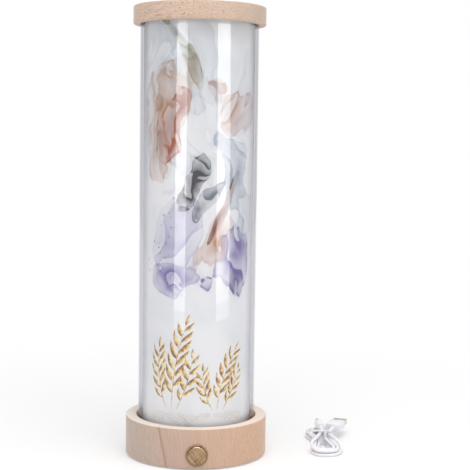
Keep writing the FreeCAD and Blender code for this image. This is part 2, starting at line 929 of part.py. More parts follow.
def tube_on(edges, radius, sides):
    """A flat-sided cord along a chain of tangent edges."""
    wire = Part.Wire(edges)
    first = edges[0]
    start = first.valueAt(first.FirstParameter)
    way = first.tangentAt(first.FirstParameter)
    tube = wire.makePipeShell([flat_sided_ring(start, way, radius, sides)], True, False)
    section = sides / 2 * radius ** 2 * math.sin(2 * math.pi / sides)
    expected = section * wire.Length
    print("tube: length %.1f, volume over section times length %.4f" % (wire.Length, tube.Volume / expected))
    return tube


def lead_tube(points, radius):
    """A thin lead: straight runs between the points, mitred at the bends."""
    points = [vec(*p) for p in points]
    wire = Part.makePolygon(points)
    ring = flat_sided_ring(points[0], points[1] - points[0], radius, lead_sides)
    return wire.makePipeShell([ring], True, False, 1)


def lead_pair(points, spacing):
    """Two leads side by side, spacing being the shift from one to the other."""
    second = [tuple(p[i] + spacing[i] for i in range(3)) for p in points]
    return group([lead_tube(points, lead_r), lead_tube(second, lead_r)])


def make_supply_leads():
    x, y = socket_places()[2]
    end = back_face_y - jack_barrel_length - jack_block[1] - jack_terminal_length
    shapes = []
    for side, drop in ((-1, 0.0), (1, lead_stagger)):
        route = [
            (side * jack_terminal_x, end, jack_height),
            (side * jack_terminal_x, end - lead_run - drop, jack_height),
            (x + lead_run, y + 2 * lead_run - drop, jack_height + lead_rise / 2),
            (x, y + side * lead_r * 1.6, jack_height + lead_rise),
            (x, y + side * lead_r * 1.6, socket_top),
        ]
        shapes.append(lead_tube(route, lead_r))
    return group(shapes)


def make_switch_leads():
    x, y = socket_places()[0]
    start = front_face_y + barrel_length - block_lap + block_length + switch_terminal_length
    shapes = []
    for side, drop in ((-1, 0.0), (1, lead_stagger)):
        route = [
            (side * switch_terminal_x, start, button_height),
            (side * switch_terminal_x, start + lead_run + drop, button_height),
            (x + lead_run, y - lead_run + drop, button_height + lead_rise / 2),
            (x, y + side * lead_r * 1.6, button_height + lead_rise),
            (x, y + side * lead_r * 1.6, socket_top),
        ]
        shapes.append(lead_tube(route, lead_r))
    return group(shapes)


def make_motor_leads():
    x, y = socket_places()[1]
    level = recess_z - gearbox_h - motor_can_h / 2
    start = motor_x - motor_can_r
    half = lead_stagger / 2
    over = socket_top + lead_r * 3
    route = [
        (start, -half, level),
        (start - lead_run, -half, level),
        (x + lead_run, -half, over),
        (x, -half, over),
        (x, -half, socket_top),
    ]
    return lead_pair(route, (0.0, lead_stagger, 0.0))


def make_led_leads():
    x, y = socket_places()[2]
    x -= socket_length / 2 + lead_r * 5
    edge_y = y + socket_width / 2 + lead_r * 2
    over = socket_top + lead_r * 6
    half = lead_r * 1.35
    route = [
        (x, edge_y, board_top),
        (x, edge_y, socket_top),
        (x + lead_r * 3, socket_step / 2, over),
        (-half, 0.0, over),
        (-half, 0.0, column_z + foot_spigot_h),
    ]
    return lead_pair(route, (2 * half, 0.0, 0.0))


# Hank


def hank_node(turn):
    """Place and direction of the cable's centre line after a number of turns of the hank."""
    phase = round(turn * 8) % 8
    inwards = abs(turn - hank_reverse)
    fall = min(1.0, max(0.0, (turn - hank_reverse) / 0.5 + 0.5))
    wider = min(1.0, max(0.0, (turn - hank_reverse - 0.125) / 0.375))
    low = cord_r + floor_gap
    waist = waist_half + waist_step * inwards
    bulge = bulge_half + bulge_step * inwards + bulge_fan * wider
    tip = tip_half + tip_step * inwards + tip_fan * wider
    height = low + layer_step * (1 - fall)
    table = {
        0: (-waist, 0, height + waist_lift, 0, -1),
        1: (-bulge, -bulge_place, height, 0, -1),
        2: (0, -tip, height, 1, 0),
        3: (bulge, -bulge_place, height, 0, 1),
        4: (waist, 0, height + waist_lift, 0, 1),
        5: (bulge, bulge_place, height, 0, 1),
        6: (0, tip, height, -1, 0),
        7: (-bulge, bulge_place, height, 0, -1),
    }
    x, y, z, way_x, way_y = table[phase]
    return vec(x, y, z), vec(way_x, way_y, 0)


def hank_nodes():
    """Both ends lie on top of the loops, one over the middle and one outside."""
    nodes = []
    nodes.append((vec(dc_x, dc_relief_y, plug_level), vec(0, -1, 0)))
    nodes.append((vec(dc_x, dc_relief_y - 2 * cord_r, plug_level), vec(0, -1, 0)))
    nodes.append((vec(-4.5, -9.0, plug_level - 1.0), vec(-0.5, -0.86, -0.08).normalize()))
    nodes.append((vec(-12.7, -24.0, plug_level - 3.3), vec(-0.06, -0.99, -0.13).normalize()))
    steps = int(round(hank_turns * 8))
    for i in range(2, steps - 1):
        nodes.append(hank_node(i / 8))
    place, way = hank_node((steps - 1) / 8)
    nodes.append((place + vec(3.2, 0, 1.4), vec(-0.03, 0.96, 0.28).normalize()))
    nodes.append((vec(13.2, -12.5, 7.8), vec(-0.3, 0.91, 0.28).normalize()))
    nodes.append((vec(6.2, 0.5, 10.2), vec(0.0, 1.0, 0.04).normalize()))
    way = vec(usb_axis[0], usb_axis[1], 0)
    end = vec(usb_x, usb_y, plug_level)
    nodes.append((end - way * (2 * cord_r), way))
    nodes.append((end, way))
    return nodes


def least_gap(edges, radius):
    """The least distance between the tube's own turns, measured on points of its centre line."""
    step = 1.0
    points = []
    travelled = []
    done = 0.0
    for edge in edges:
        count = max(2, int(edge.Length / step))
        for i in range(count):
            points.append(edge.valueAt(edge.FirstParameter + (edge.LastParameter - edge.FirstParameter) * i / count))
            travelled.append(done + edge.Length * i / count)
        done += edge.Length
    least = 1000.0
    where = None
    for i in range(len(points)):
        for j in range(i + 1, len(points)):
            if travelled[j] - travelled[i] < 14 * radius:
                continue
            distance = points[i].distanceToPoint(points[j])
            if distance < least:
                least = distance
                where = (points[i], points[j])
    return least - 2 * radius, where


def make_cable_hank():
    nodes = hank_nodes()
    edges = []
    for i in range(len(nodes) - 1):
        start, start_way = nodes[i]
        end, end_way = nodes[i + 1]
        if start_way.dot((end - start).normalize()) > 0.99999 and start_way.dot(end_way) > 0.99999:
            edges.append(Part.LineSegment(start, end).toShape())
        else:
            edges.extend(biarc(start, start_way, end, end_way))
    radii = [e.Curve.Radius for e in edges if isinstance(e.Curve, Part.Circle)]
    gap, where = least_gap(edges, cord_r)
    print("cable: smallest bend radius %.1f, least gap to itself %.2f at %s" % (min(radii), gap, where))
    hank = tube_on(edges, cord_r, cord_sides)
    hank.translate(vec(hank_x, hank_y, 0))
    return hank


def along_plug(outline, x, y, turn):
    """A turned piece of the cable, its outline given as (distance, radius) from its rear."""
    piece = turned([(r, d) for d, r in outline])
    piece.rotate(vec(0, 0, 0), vec(1, 0, 0), -90)
    piece.rotate(vec(0, 0, 0), vec(0, 0, 1), -turn)
    piece.translate(vec(hank_x + x, hank_y + y, plug_level))
    return piece


def ribbed_relief(length, radius, count):
    """Outline points of a strain relief with grooves, from its thin end."""
    pitch = length / count
    points = []
    for i in range(count):
        low = i * pitch
        points.append((low, radius))
        points.append((low + pitch * 0.6, radius))
        points.append((low + pitch * 0.6, radius - 0.4))
        points.append((low + pitch, radius - 0.4))
    return points


def make_dc_plug_body():
    relief = ribbed_relief(dc_relief_length, dc_relief_r, dc_relief_ribs)
    start = dc_relief_length
    end = start + dc_body_length
    collar = end - dc_collar_length
    outline = [(0, 0)] + relief + [(start, dc_body_r), (collar, dc_body_r), (collar, dc_collar_r), (end, dc_collar_r)]
    outline += [(end, 0)]
    return along_plug(outline, dc_x, dc_relief_y, 0)


def make_dc_plug_sleeve():
    start = dc_relief_length + dc_body_length
    end = start + dc_sleeve_length
    inner = dc_sleeve_r - dc_sleeve_wall
    outline = [(start, inner), (start, dc_sleeve_r), (end - 0.3, dc_sleeve_r), (end, dc_sleeve_r - 0.25), (end, inner)]
    return along_plug(outline, dc_x, dc_relief_y, 0)


def make_dc_plug_insulator():
    start = dc_relief_length + dc_body_length
    end = start + dc_sleeve_length - 0.3
    outer = dc_sleeve_r - dc_sleeve_wall
    outline = [(start, dc_pin_hole_r), (start, outer), (end, outer), (end, dc_pin_hole_r)]
    return along_plug(outline, dc_x, dc_relief_y, 0)


def usb_place(piece):
    piece.rotate(vec(0, 0, 0), vec(0, 0, 1), -usb_turn)
    piece.translate(vec(hank_x + usb_x, hank_y + usb_y, plug_level))
    return piece


def make_usb_plug_body():
    relief = along_y(usb_relief_r, 0, usb_relief_length + 1, 0, 0)
    wide, long, tall = usb_body
    low = (-wide / 2, usb_relief_length, -tall / 2)
    high = (wide / 2, usb_relief_length + long, tall / 2)
    body = block(low, high)
    lengthwise = [e for e in body.Edges if abs(e.BoundBox.YLength - long) < 0.001]
    body = body.makeFillet(usb_body_round, lengthwise)
    return usb_place(body.fuse(relief))


def make_usb_shell():
    wide, long, tall = usb_shell_size
    start = usb_relief_length + usb_body[1]
    wall = usb_shell_wall
    shell = block((-wide / 2, start, -tall / 2), (wide / 2, start + long, tall / 2))
    hollow = block((-wide / 2 + wall, start, -tall / 2 + wall), (wide / 2 - wall, start + long, tall / 2 - wall))
    shell = shell.cut(hollow)
    for side in (-1, 1):
        x = side * 2.85
        shell = shell.cut(block((x - 1.25, start + 5.2, -tall), (x + 1.25, start + 7.2, tall)))
    return usb_place(shell)


def make_usb_tongue():
    wide, long, tall = usb_shell_size
    start = usb_relief_length + usb_body[1]
    wall = usb_shell_wall
    low = (-wide / 2 + wall, start, -tall / 2 + wall)
    high = (wide / 2 - wall, start + long - 0.6, -tall / 2 + wall + usb_tongue_t)
    return usb_place(block(low, high))


def make_usb_contacts():
    wide, long, tall = usb_shell_size
    start = usb_relief_length + usb_body[1]
    level = -tall / 2 + usb_shell_wall + usb_tongue_t
    strips = []
    for x in (-3.5, -1.0, 1.0, 3.5):
        strips.append(usb_place(block((x - 0.5, start, level), (x + 0.5, start + long - 2.0, level + 0.2))))
    return group(strips)


def make_cable_tie():
    """A flat band round the waist of the hank."""
    inner_left = waist_half + waist_step + cord_r + tie_gap
    inner_right = waist_half + 1.5 * waist_step + cord_r + tie_gap
    low = tie_t
    high = plug_level + cord_r + tie_gap
    half = tie_width / 2
    inner = block((-inner_left, -half, low), (inner_right, half, high))
    outer = block((-inner_left - tie_t, -half, low - tie_t), (inner_right + tie_t, half, high + tie_t))
    corner_in = [e for e in inner.Edges if abs(e.BoundBox.YLength - tie_width) < 0.001]
    corner_out = [e for e in outer.Edges if abs(e.BoundBox.YLength - tie_width) < 0.001]
    band = outer.makeFillet(1.2 + tie_t, corner_out).cut(inner.makeFillet(1.2, corner_in))
    band.translate(vec(hank_x, hank_y, 0))
    return band


makers = {
    "base_shell": make_base_shell,
    "bottom_cover": make_bottom_cover,
    "cover_screws": make_cover_screws,
    "rubber_feet": make_rubber_feet,
    "clear_tube": make_clear_tube,
    "lid": make_lid,
    "chassis": make_chassis,
    "chassis_screws": make_chassis_screws,
    "thrust_washer": make_thrust_washer,
    "turntable": make_turntable,
    "drive_pinion": make_drive_pinion,
    "motor_shaft": make_motor_shaft,
    "gear_motor": make_gear_motor,
    "motor_screws": make_motor_screws,
    "print_film": make_print_film,
    "drum_top_ring": make_drum_top_ring,
    "top_bush": make_top_bush,
    "column_foot": make_column_foot,
    "light_column": make_light_column,
    "column_head": make_column_head,
    "pivot_pin": make_pivot_pin,
    "led_strips": lambda: on_four_faces(one_led_strip),
    "led_chips": lambda: on_four_faces(one_led_row),
    "switch_body": make_switch_body,
    "button_cap": make_button_cap,
    "switch_nut": make_switch_nut,
    "contact_block": make_contact_block,
    "switch_terminals": make_switch_terminals,
    "jack_body": make_jack_body,
    "jack_pin": make_jack_pin,
    "jack_nut": make_jack_nut,
    "jack_terminals": make_jack_terminals,
    "control_board": make_control_board,
    "board_screws": make_board_screws,
    "board_chips": make_board_chips,
    "board_sockets": make_board_sockets,
    "supply_leads": make_supply_leads,
    "switch_leads": make_switch_leads,
    "motor_leads": make_motor_leads,
    "led_leads": make_led_leads,
    "cable_hank": make_cable_hank,
    "dc_plug_body": make_dc_plug_body,
    "dc_plug_sleeve": make_dc_plug_sleeve,
    "dc_plug_insulator": make_dc_plug_insulator,
    "usb_plug_body": make_usb_plug_body,
    "usb_shell": make_usb_shell,
    "usb_tongue": make_usb_tongue,
    "usb_contacts": make_usb_contacts,
    "cable_tie": make_cable_tie,
}

os.makedirs("parts", exist_ok=True)
for name, make in makers.items():
    shape = make()
    if not shape.isValid():
        print("not valid:", name)
    shape.exportStep("parts/" + name + ".step")
    made[name] = shape
print("sub-parts:", len(made), "solids:", sum(len(s.Solids) for s in made.values()))
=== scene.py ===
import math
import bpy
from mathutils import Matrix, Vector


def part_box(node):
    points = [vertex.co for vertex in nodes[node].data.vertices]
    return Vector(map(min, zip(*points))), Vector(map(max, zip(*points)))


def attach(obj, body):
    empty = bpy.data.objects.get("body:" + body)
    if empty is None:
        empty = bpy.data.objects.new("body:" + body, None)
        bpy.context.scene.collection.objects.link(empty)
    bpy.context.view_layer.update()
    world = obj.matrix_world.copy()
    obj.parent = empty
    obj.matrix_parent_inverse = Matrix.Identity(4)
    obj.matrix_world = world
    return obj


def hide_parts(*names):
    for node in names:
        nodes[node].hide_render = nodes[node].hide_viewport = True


bl_info = {
    "name": "Rotating motion lamp",
    "version": (1, 0, 0),
    "blender": (4, 5, 0),
    "location": "3D View > Sidebar > Motion lamp",
    "description": "Dresses the lamp's frame with beech, acrylic, a printed drum, brass and a cable",
    "category": "Object",
}

import bmesh
import bpy
from bpy.props import FloatProperty, FloatVectorProperty, PointerProperty
from mathutils import Euler, Matrix, Vector

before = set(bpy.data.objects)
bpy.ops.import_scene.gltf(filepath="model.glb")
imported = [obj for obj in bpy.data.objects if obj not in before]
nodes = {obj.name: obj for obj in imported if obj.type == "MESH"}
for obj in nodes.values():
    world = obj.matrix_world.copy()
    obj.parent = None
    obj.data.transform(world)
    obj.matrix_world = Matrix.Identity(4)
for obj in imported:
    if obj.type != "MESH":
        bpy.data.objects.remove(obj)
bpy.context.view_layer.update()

MM = 0.001
WHITE = (1.0, 1.0, 1.0, 1.0)

# Segments round the turned shapes
TUBE_STEPS = 320
WOOD_STEPS = 256
BRASS_STEPS = 96

# From the lamp's axis to the seat of the button's bezel and to the face of the socket
BEZEL_SEAT = 57.5 * MM
SOCKET_FACE = 57.0 * MM


def linear(code):
    """The linear colour of an sRGB hex value."""
    parts = [int(code[i:i + 2], 16) / 255 for i in (0, 2, 4)]
    return tuple(p / 12.92 if p <= 0.04045 else ((p + 0.055) / 1.055) ** 2.4 for p in parts)


def rgba(colour):
    return (colour[0], colour[1], colour[2], 1.0)


def colour_setting(name, description, code):
    return FloatVectorProperty(
        name=name, description=description, subtype="COLOR", size=3, min=0.0, max=1.0, default=linear(code)
    )


def length_setting(name, description, millimetres):
    default = millimetres * MM
    return FloatProperty(name=name, description=description, default=default, min=0.0, unit="LENGTH")


def number_setting(name, description, default):
    return FloatProperty(name=name, description=description, default=default, min=0.0)


# Sizes and colours that a user would change


class WoodSettings(bpy.types.PropertyGroup):
    pale: colour_setting("Pale beech", "Wood of the cap between heart and sapwood", "D8BEAA")
    warm: colour_setting("Warm beech", "Peach heartwood near the pith", "D4B095")
    rose: colour_setting("Rose beech", "Wood of the base between heart and sapwood", "CCAD9B")
    grey: colour_setting("Grey beech", "Cooler sapwood furthest from the pith", "C2AFA1")
    late: colour_setting("Late wood", "Thin darker line that closes each ring", "AE8C76")
    fleck: colour_setting("Ray fleck", "Short brown rays and pores", "9C7458")
    # Painted highlight: this near white whitens the end grain faces, the base's top among them, as if lit
    # from above.
    end_highlight_colour: colour_setting("End grain highlight", "Painted highlight that whitens the end grain faces, the base's top among them, as if lit from above", "FBF2E8")
    base_rings: length_setting("Base rings", "Distance between the dark growth lines of the base", 100.0)
    cap_rings: length_setting("Cap rings", "Distance between the dark growth lines of the cap", 4.6)
    pore_width: length_setting("Pore width", "Width of a pore, drawn coarse enough to show", 0.8)
    rounding: length_setting("Edge rounding", "Radius of the sanded edges", 1.2)


class TubeSettings(bpy.types.PropertyGroup):
    tint: colour_setting("Edge tint", "Colour that light keeps on its way along the wall", "D2D2D8")
    edge_rounding: length_setting("Edge rounding", "Polished edge of the tube's ends", 0.3)


class PrintSettings(bpy.types.PropertyGroup):
    ground: colour_setting("Ground", "Pale ground of the print", "F1F1F3")
    gold: colour_setting("Gold", "Middle tone of the printed leaves", "C8923C")
    gold_light: colour_setting("Gold light", "Light tone of the printed leaves", "F4DFA6")
    gold_dark: colour_setting("Gold dark", "Dark tone of the printed leaves", "6E3F17")
    ground_line: length_setting("Ground line", "Height at which the sprigs stand", 46.0)


class MetalSettings(bpy.types.PropertyGroup):
    brass: colour_setting("Brass", "Face of the push button", "A88D6F")
    brass_dark: colour_setting("Bezel brass", "Aged brass of the bezel", "B59A7A")
    steel: colour_setting("Steel", "Zinc plated screws and motor", "B9BABD")
    nickel: colour_setting("Nickel", "Plated shell and sleeve of the plugs", "D9D4CA")
    button_bevel: length_setting("Button bevel", "Turned bevel round the face of the button", 0.9)


class CableSettings(bpy.types.PropertyGroup):
    cover: colour_setting("Cover", "PVC cover of the cable and plugs", "F0EFF4")
    diameter: length_setting("Diameter", "Outer diameter of the cable", 3.0)
    waist_half: length_setting("Waist", "Half width of the innermost turn at the tie", 1.8)
    bulge_half: length_setting("Bulge", "Half width of the innermost turn at its widest", 5.8)
    tip_half: length_setting("Tip", "Half length of the innermost turn", 33.6)


class StageSettings(bpy.types.PropertyGroup):
    floor: colour_setting("Floor", "Pale floor that the lamp stands on", "F2F2F2")
    room_light: number_setting("Room light", "Strength of the even light from all sides", 0.72)
    box_radiance: number_setting("Soft box brightness", "Brightness of the two tall soft boxes", 5.4)
    top_radiance: number_setting("Top light brightness", "Brightness of the wide light overhead", 3.3)
    lens: number_setting("Lens", "Focal length of the camera, in millimetres", 89.19)


settings_groups = {
    "lamp_wood": WoodSettings,
    "lamp_tube": TubeSettings,
    "lamp_print": PrintSettings,
    "lamp_metal": MetalSettings,
    "lamp_cable": CableSettings,
    "lamp_stage": StageSettings,
}


# Nodes


def cleared(owner):
    """The node tree of a material or a world, emptied."""
    owner.use_nodes = True
    owner.node_tree.nodes.clear()
    return owner.node_tree


def add(tree, kind, inputs=None, output=0, **settings):
    """Adds a node, sets its properties, gives each input a value or a link, and returns one output."""
    node = tree.nodes.new(kind)
    for name, value in settings.items():
        setattr(node, name, value)
    for key, value in (inputs or {}).items():
        if isinstance(value, bpy.types.NodeSocket):
            tree.links.new(value, node.inputs[key])
        else:
            node.inputs[key].default_value = value
    return node.outputs[output]


def show(tree, surface, kind="ShaderNodeOutputMaterial"):
    """Leads a surface to the output of its tree."""
    tree.links.new(surface, tree.nodes.new(kind).inputs["Surface"])


def calc(tree, operation, *values, clamp=False):
    return add(tree, "ShaderNodeMath", dict(enumerate(values)), operation=operation, use_clamp=clamp)


def vector_calc(tree, operation, *values):
    output = "Value" if operation in ("LENGTH", "DOT_PRODUCT") else "Vector"
    return add(tree, "ShaderNodeVectorMath", dict(enumerate(values)), output, operation=operation)


def noise(tree, place, scale, detail, roughness=0.5, distortion=0.0):
    inputs = {
        "Vector": place, "Scale": scale, "Detail": detail, "Roughness": roughness, "Distortion": distortion,
    }
    return add(tree, "ShaderNodeTexNoise", inputs)


def ranged(tree, value, low, high, start=0.0, end=1.0, **settings):
    """Maps values from start to end onto low to high."""
    inputs = {"Value": value, "From Min": start, "From Max": end, "To Min": low, "To Max": high}
    return add(tree, "ShaderNodeMapRange", inputs, **settings)


def ramp(tree, value, stops):
    """A colour ramp, with its stops as (place, colour or grey level)."""
    colour = add(tree, "ShaderNodeValToRGB", {"Fac": value})
    elements = colour.node.color_ramp.elements
    while len(elements) < len(stops):
        elements.new(0.5)
    for element, (place, tone) in zip(elements, stops):
        element.position = place
        element.color = rgba(tone) if hasattr(tone, "__len__") else (tone, tone, tone, 1.0)
    return colour


def mapped(tree, place, scale=(1.0, 1.0, 1.0), turn=(0.0, 0.0, 0.0), shift=(0.0, 0.0, 0.0)):
    """A place stretched, then turned, then shifted."""
    inputs = {"Vector": place, "Scale": scale, "Rotation": turn, "Location": shift}
    return add(tree, "ShaderNodeMapping", inputs)


def in_millimetres(tree, scale=(1.0, 1.0, 1.0), turn=(0.0, 0.0, 0.0), shift=(0.0, 0.0, 0.0)):
    """Object coordinates in millimetres, turned and shifted, and then stretched."""
    place = add(tree, "ShaderNodeTexCoord", None, "Object")
    in_mm = vector_calc(tree, "MULTIPLY", place, (1 / MM, 1 / MM, 1 / MM))
    return mapped(tree, mapped(tree, in_mm, turn=turn, shift=shift), scale=scale)


def mixed(tree, factor, below, above, blend="MIX"):
    inputs = {"Factor": factor, "A": below, "B": above}
    return add(tree, "ShaderNodeMix", inputs, "Result", data_type="RGBA", blend_type=blend)


def mixed_shaders(tree, factor, first, second):
    return add(tree, "ShaderNodeMixShader", {0: factor, 1: first, 2: second})


def bump(tree, height, strength, distance, invert=False):
    inputs = {"Height": height, "Strength": strength, "Distance": distance}
    return add(tree, "ShaderNodeBump", inputs, invert=invert)


def principled(tree, colour, roughness, more):
    inputs = {"Base Color": colour, "Roughness": roughness, **more}
    return add(tree, "ShaderNodeBsdfPrincipled", inputs)


# Materials


def beech(
    name, wood, fibre_turn, pith, rings, ring_strength, sway_reach, heart, tones, pore_strength, painted_end_light
):
    """Turned and sanded beech, unvarnished: pale and matt, with a fuzz of cut fibres that whitens where it is
    seen edge on, soft rings, and pores and short brown ray flecks in the early wood of each ring. Heart gives
    the distances from the pith, in millimetres, where the heartwood ends and where the sapwood begins."""
    material = bpy.data.materials.new(name)
    tree = cleared(material)
    board = in_millimetres(tree, turn=fibre_turn, shift=pith)
    long_way = mapped(tree, board, (0.15, 1.0, 1.0))
    sway = noise(tree, long_way, 0.028, 2.0)
    from_pith = vector_calc(tree, "LENGTH", vector_calc(tree, "MULTIPLY", board, (0.0, 1.0, 1.0)))
    swayed = calc(tree, "MULTIPLY_ADD", sway, sway_reach, from_pith)

    year = calc(tree, "FRACT", calc(tree, "DIVIDE", swayed, rings / MM))
    line = min(0.2, 1.5 * MM / rings)
    late = ramp(tree, year, [
        (0.0, 0.0), (0.5, 0.04 * ring_strength), (1 - 2 * line, 0.2 * ring_strength),
        (1 - line, ring_strength), (1 - 0.5 * line, 0.8 * ring_strength), (1.0, 0.0),
    ])
    early = ramp(tree, year, [(0.0, 1.0), (0.4, 0.9), (0.62, 0.3), (1.0, 0.35)])

    broad = noise(tree, long_way, 0.013, 1.0)
    inwards = ranged(tree, swayed, -0.25, 0.75, heart[1], heart[0])
    shade = calc(tree, "MULTIPLY_ADD", broad, 0.5, inwards)
    tone = ramp(tree, shade, [(0.12, tones[0]), (0.5, tones[1]), (0.88, tones[2])])
    silk = noise(tree, mapped(tree, board, (0.02, 1.1, 1.1)), 1.0, 2.0)
    fibres = ranged(tree, silk, 0.9, 1.05, 0.3, 0.7)
    fibred = add(tree, "ShaderNodeVectorMath", {0: tone, "Scale": fibres}, operation="SCALE")
    ringed = mixed(tree, late, fibred, rgba(wood.late))

    fine = MM / wood.pore_width
    pores = noise(tree, mapped(tree, board, (0.16 * fine, fine, fine)), 1.0, 2.0)
    pore_mask = ramp(tree, pores, [(0.5, 0.0), (0.72, pore_strength)])
    ray_place = mapped(tree, board, (0.1, 0.42, 0.42))
    rays = add(tree, "ShaderNodeTexVoronoi", {"Vector": ray_place, "Scale": 1.0})
    ray_mask = ramp(tree, rays, [(0.1, pore_strength), (0.24, 0.0)])
    marks = calc(tree, "MULTIPLY", calc(tree, "MAXIMUM", pore_mask, ray_mask), early)
    marked = mixed(tree, marks, ringed, rgba(wood.fleck))

    # Painted highlight: faces across the fibre are mixed towards the near-white end colour, so the base's top
    # ring and underside look lit from above; the cap gets none.
    fibre = Euler(fibre_turn).to_matrix()[0]
    facing = add(tree, "ShaderNodeTexCoord", None, "Normal")
    along = vector_calc(tree, "DOT_PRODUCT", facing, tuple(fibre))
    cut = calc(tree, "MULTIPLY", calc(tree, "POWER", along, 4.0), painted_end_light)
    surface = principled(tree, mixed(tree, cut, marked, rgba(wood.end_highlight_colour)), ranged(tree, pores, 0.5, 0.72), {
        "Normal": bump(tree, marks, 0.25, 0.1 * MM, invert=True), "IOR": 1.45, "Specular IOR Level": 0.4,
        "Sheen Weight": 0.3, "Sheen Roughness": 0.35,
    })
    show(tree, surface)
    return material


def moulded(name, colour, roughness, grain, height, mottle=0.04):
    """Moulded or sheet plastic and rubber: an even colour with the fine grain of the mould, which is given by
    its size and its height in millimetres."""
    material = bpy.data.materials.new(name)
    tree = cleared(material)
    place = in_millimetres(tree)
    texture = noise(tree, place, 1.0 / grain, 3.0)
    darker = tuple(c * (1.0 - mottle * 2) for c in colour)
    tone = ramp(tree, noise(tree, place, 0.04, 2.0), [(0.3, darker), (0.6, colour)])
    gloss = ranged(tree, texture, roughness * 0.85, roughness * 1.15)
    show(tree, principled(tree, tone, gloss, {"Normal": bump(tree, texture, 0.3, height * MM), "IOR": 1.5}))
    return material


def metal(name, colour, roughness, scratch, stretch=(1.0, 1.0, 1.0)):
    """Bare or plated metal with fine drawing or plating marks along one way."""
    material = bpy.data.materials.new(name)
    tree = cleared(material)
    marks = noise(tree, in_millimetres(tree, stretch), 1.0 / scratch, 4.0)
    duller = tuple(c * 0.82 for c in colour)
    tone = ramp(tree, marks, [(0.35, duller), (0.6, colour)])
    gloss = ranged(tree, marks, roughness * 0.7, roughness * 1.4)
    show(tree, principled(tree, tone, gloss, {"Metallic": 1.0}))
    return material


# Meshes


def placed(name, data):
    """A new object in the scene."""
    thing = bpy.data.objects.new(name, data)
    bpy.context.scene.collection.objects.link(thing)
    return thing


def spun_into(bm, outline, steps, matrix=Matrix.Identity(4)):
    """Adds a turned shape to a bmesh. The outline is (radius, height) pairs about the local Z axis."""
    before = set(bm.verts)

    def made():
        return [v for v in bm.verts if v not in before]

    rim = [bm.verts.new((radius, 0.0, height)) for radius, height in outline]
    on_axis = [radius < 1e-9 for radius, height in outline]
    edges = []
    for i in range(len(rim)):
        j = (i + 1) % len(rim)
        if not (on_axis[i] and on_axis[j]):
            edges.append(bm.edges.new((rim[i], rim[j])))
    bmesh.ops.spin(
        bm, geom=rim + edges, cent=(0, 0, 0), axis=(0, 0, 1), angle=2 * math.pi, steps=steps, use_merge=True
    )
    bmesh.ops.remove_doubles(bm, verts=made(), dist=0.002 * MM)
    bmesh.ops.transform(bm, matrix=matrix, verts=made())


def ring_edges(bm, radius, height):
    """The edges of the circle about Z at a radius and a height."""
    near = 0.02 * MM

    def on_ring(vert):
        return abs(math.hypot(vert.co.x, vert.co.y) - radius) < near and abs(vert.co.z - height) < near

    return [e for e in bm.edges if on_ring(e.verts[0]) and on_ring(e.verts[1])]


def soften(bm, edges, width, segments=4):
    """Rounds edges over."""
    bmesh.ops.bevel(
        bm, geom=edges, offset=width, offset_type="OFFSET", segments=segments, profile=0.5, affect="EDGES",
        material=-1, clamp_overlap=True,
    )


def shade(mesh, sharp):
    """Shades a mesh smooth but for its edges that are sharper than an angle in degrees."""
    mesh.shade_smooth()
    mesh.set_sharp_from_angle(angle=math.radians(sharp))


def new_object(bm, name, sharp=35.0):
    """An object at the origin from a bmesh."""
    bmesh.ops.recalc_face_normals(bm, faces=bm.faces)
    mesh = bpy.data.meshes.new(name)
    bm.to_mesh(mesh)
    bm.free()
    shade(mesh, sharp)
    return placed(name, mesh)


def hand_over(piece, material, body, *replaced):
    """Gives a piece its finish and its body, and hides the nodes it replaces."""
    piece.data.materials.clear()
    piece.data.materials.append(material)
    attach(piece, body)
    if replaced:
        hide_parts(*replaced)


def cut_out(piece, cutters):
    """Cuts the cutters out of a piece and removes them."""
    for cutter in cutters:
        hole = piece.modifiers.new("hole", "BOOLEAN")
        hole.object = cutter
        hole.operation = "DIFFERENCE"
        hole.solver = "EXACT"
    bpy.context.view_layer.update()
    whole = piece.evaluated_get(bpy.context.evaluated_depsgraph_get())
    mesh = bpy.data.meshes.new_from_object(whole)
    piece.modifiers.clear()
    piece.data = mesh
    shade(mesh, 35.0)
    for cutter in cutters:
        bpy.data.objects.remove(cutter)


def dress(material, *names):
    """Gives CAD nodes a finish."""
    for name in names:
        mesh = nodes[name].data
        mesh.materials.clear()
        mesh.materials.append(material)


def facing_front(place):
    """Turns a shape spun about Z so that its top looks along -Y, and puts it at a place."""
    return Matrix.Translation(place) @ Matrix.Rotation(math.radians(90), 4, "X")


# Turned wood


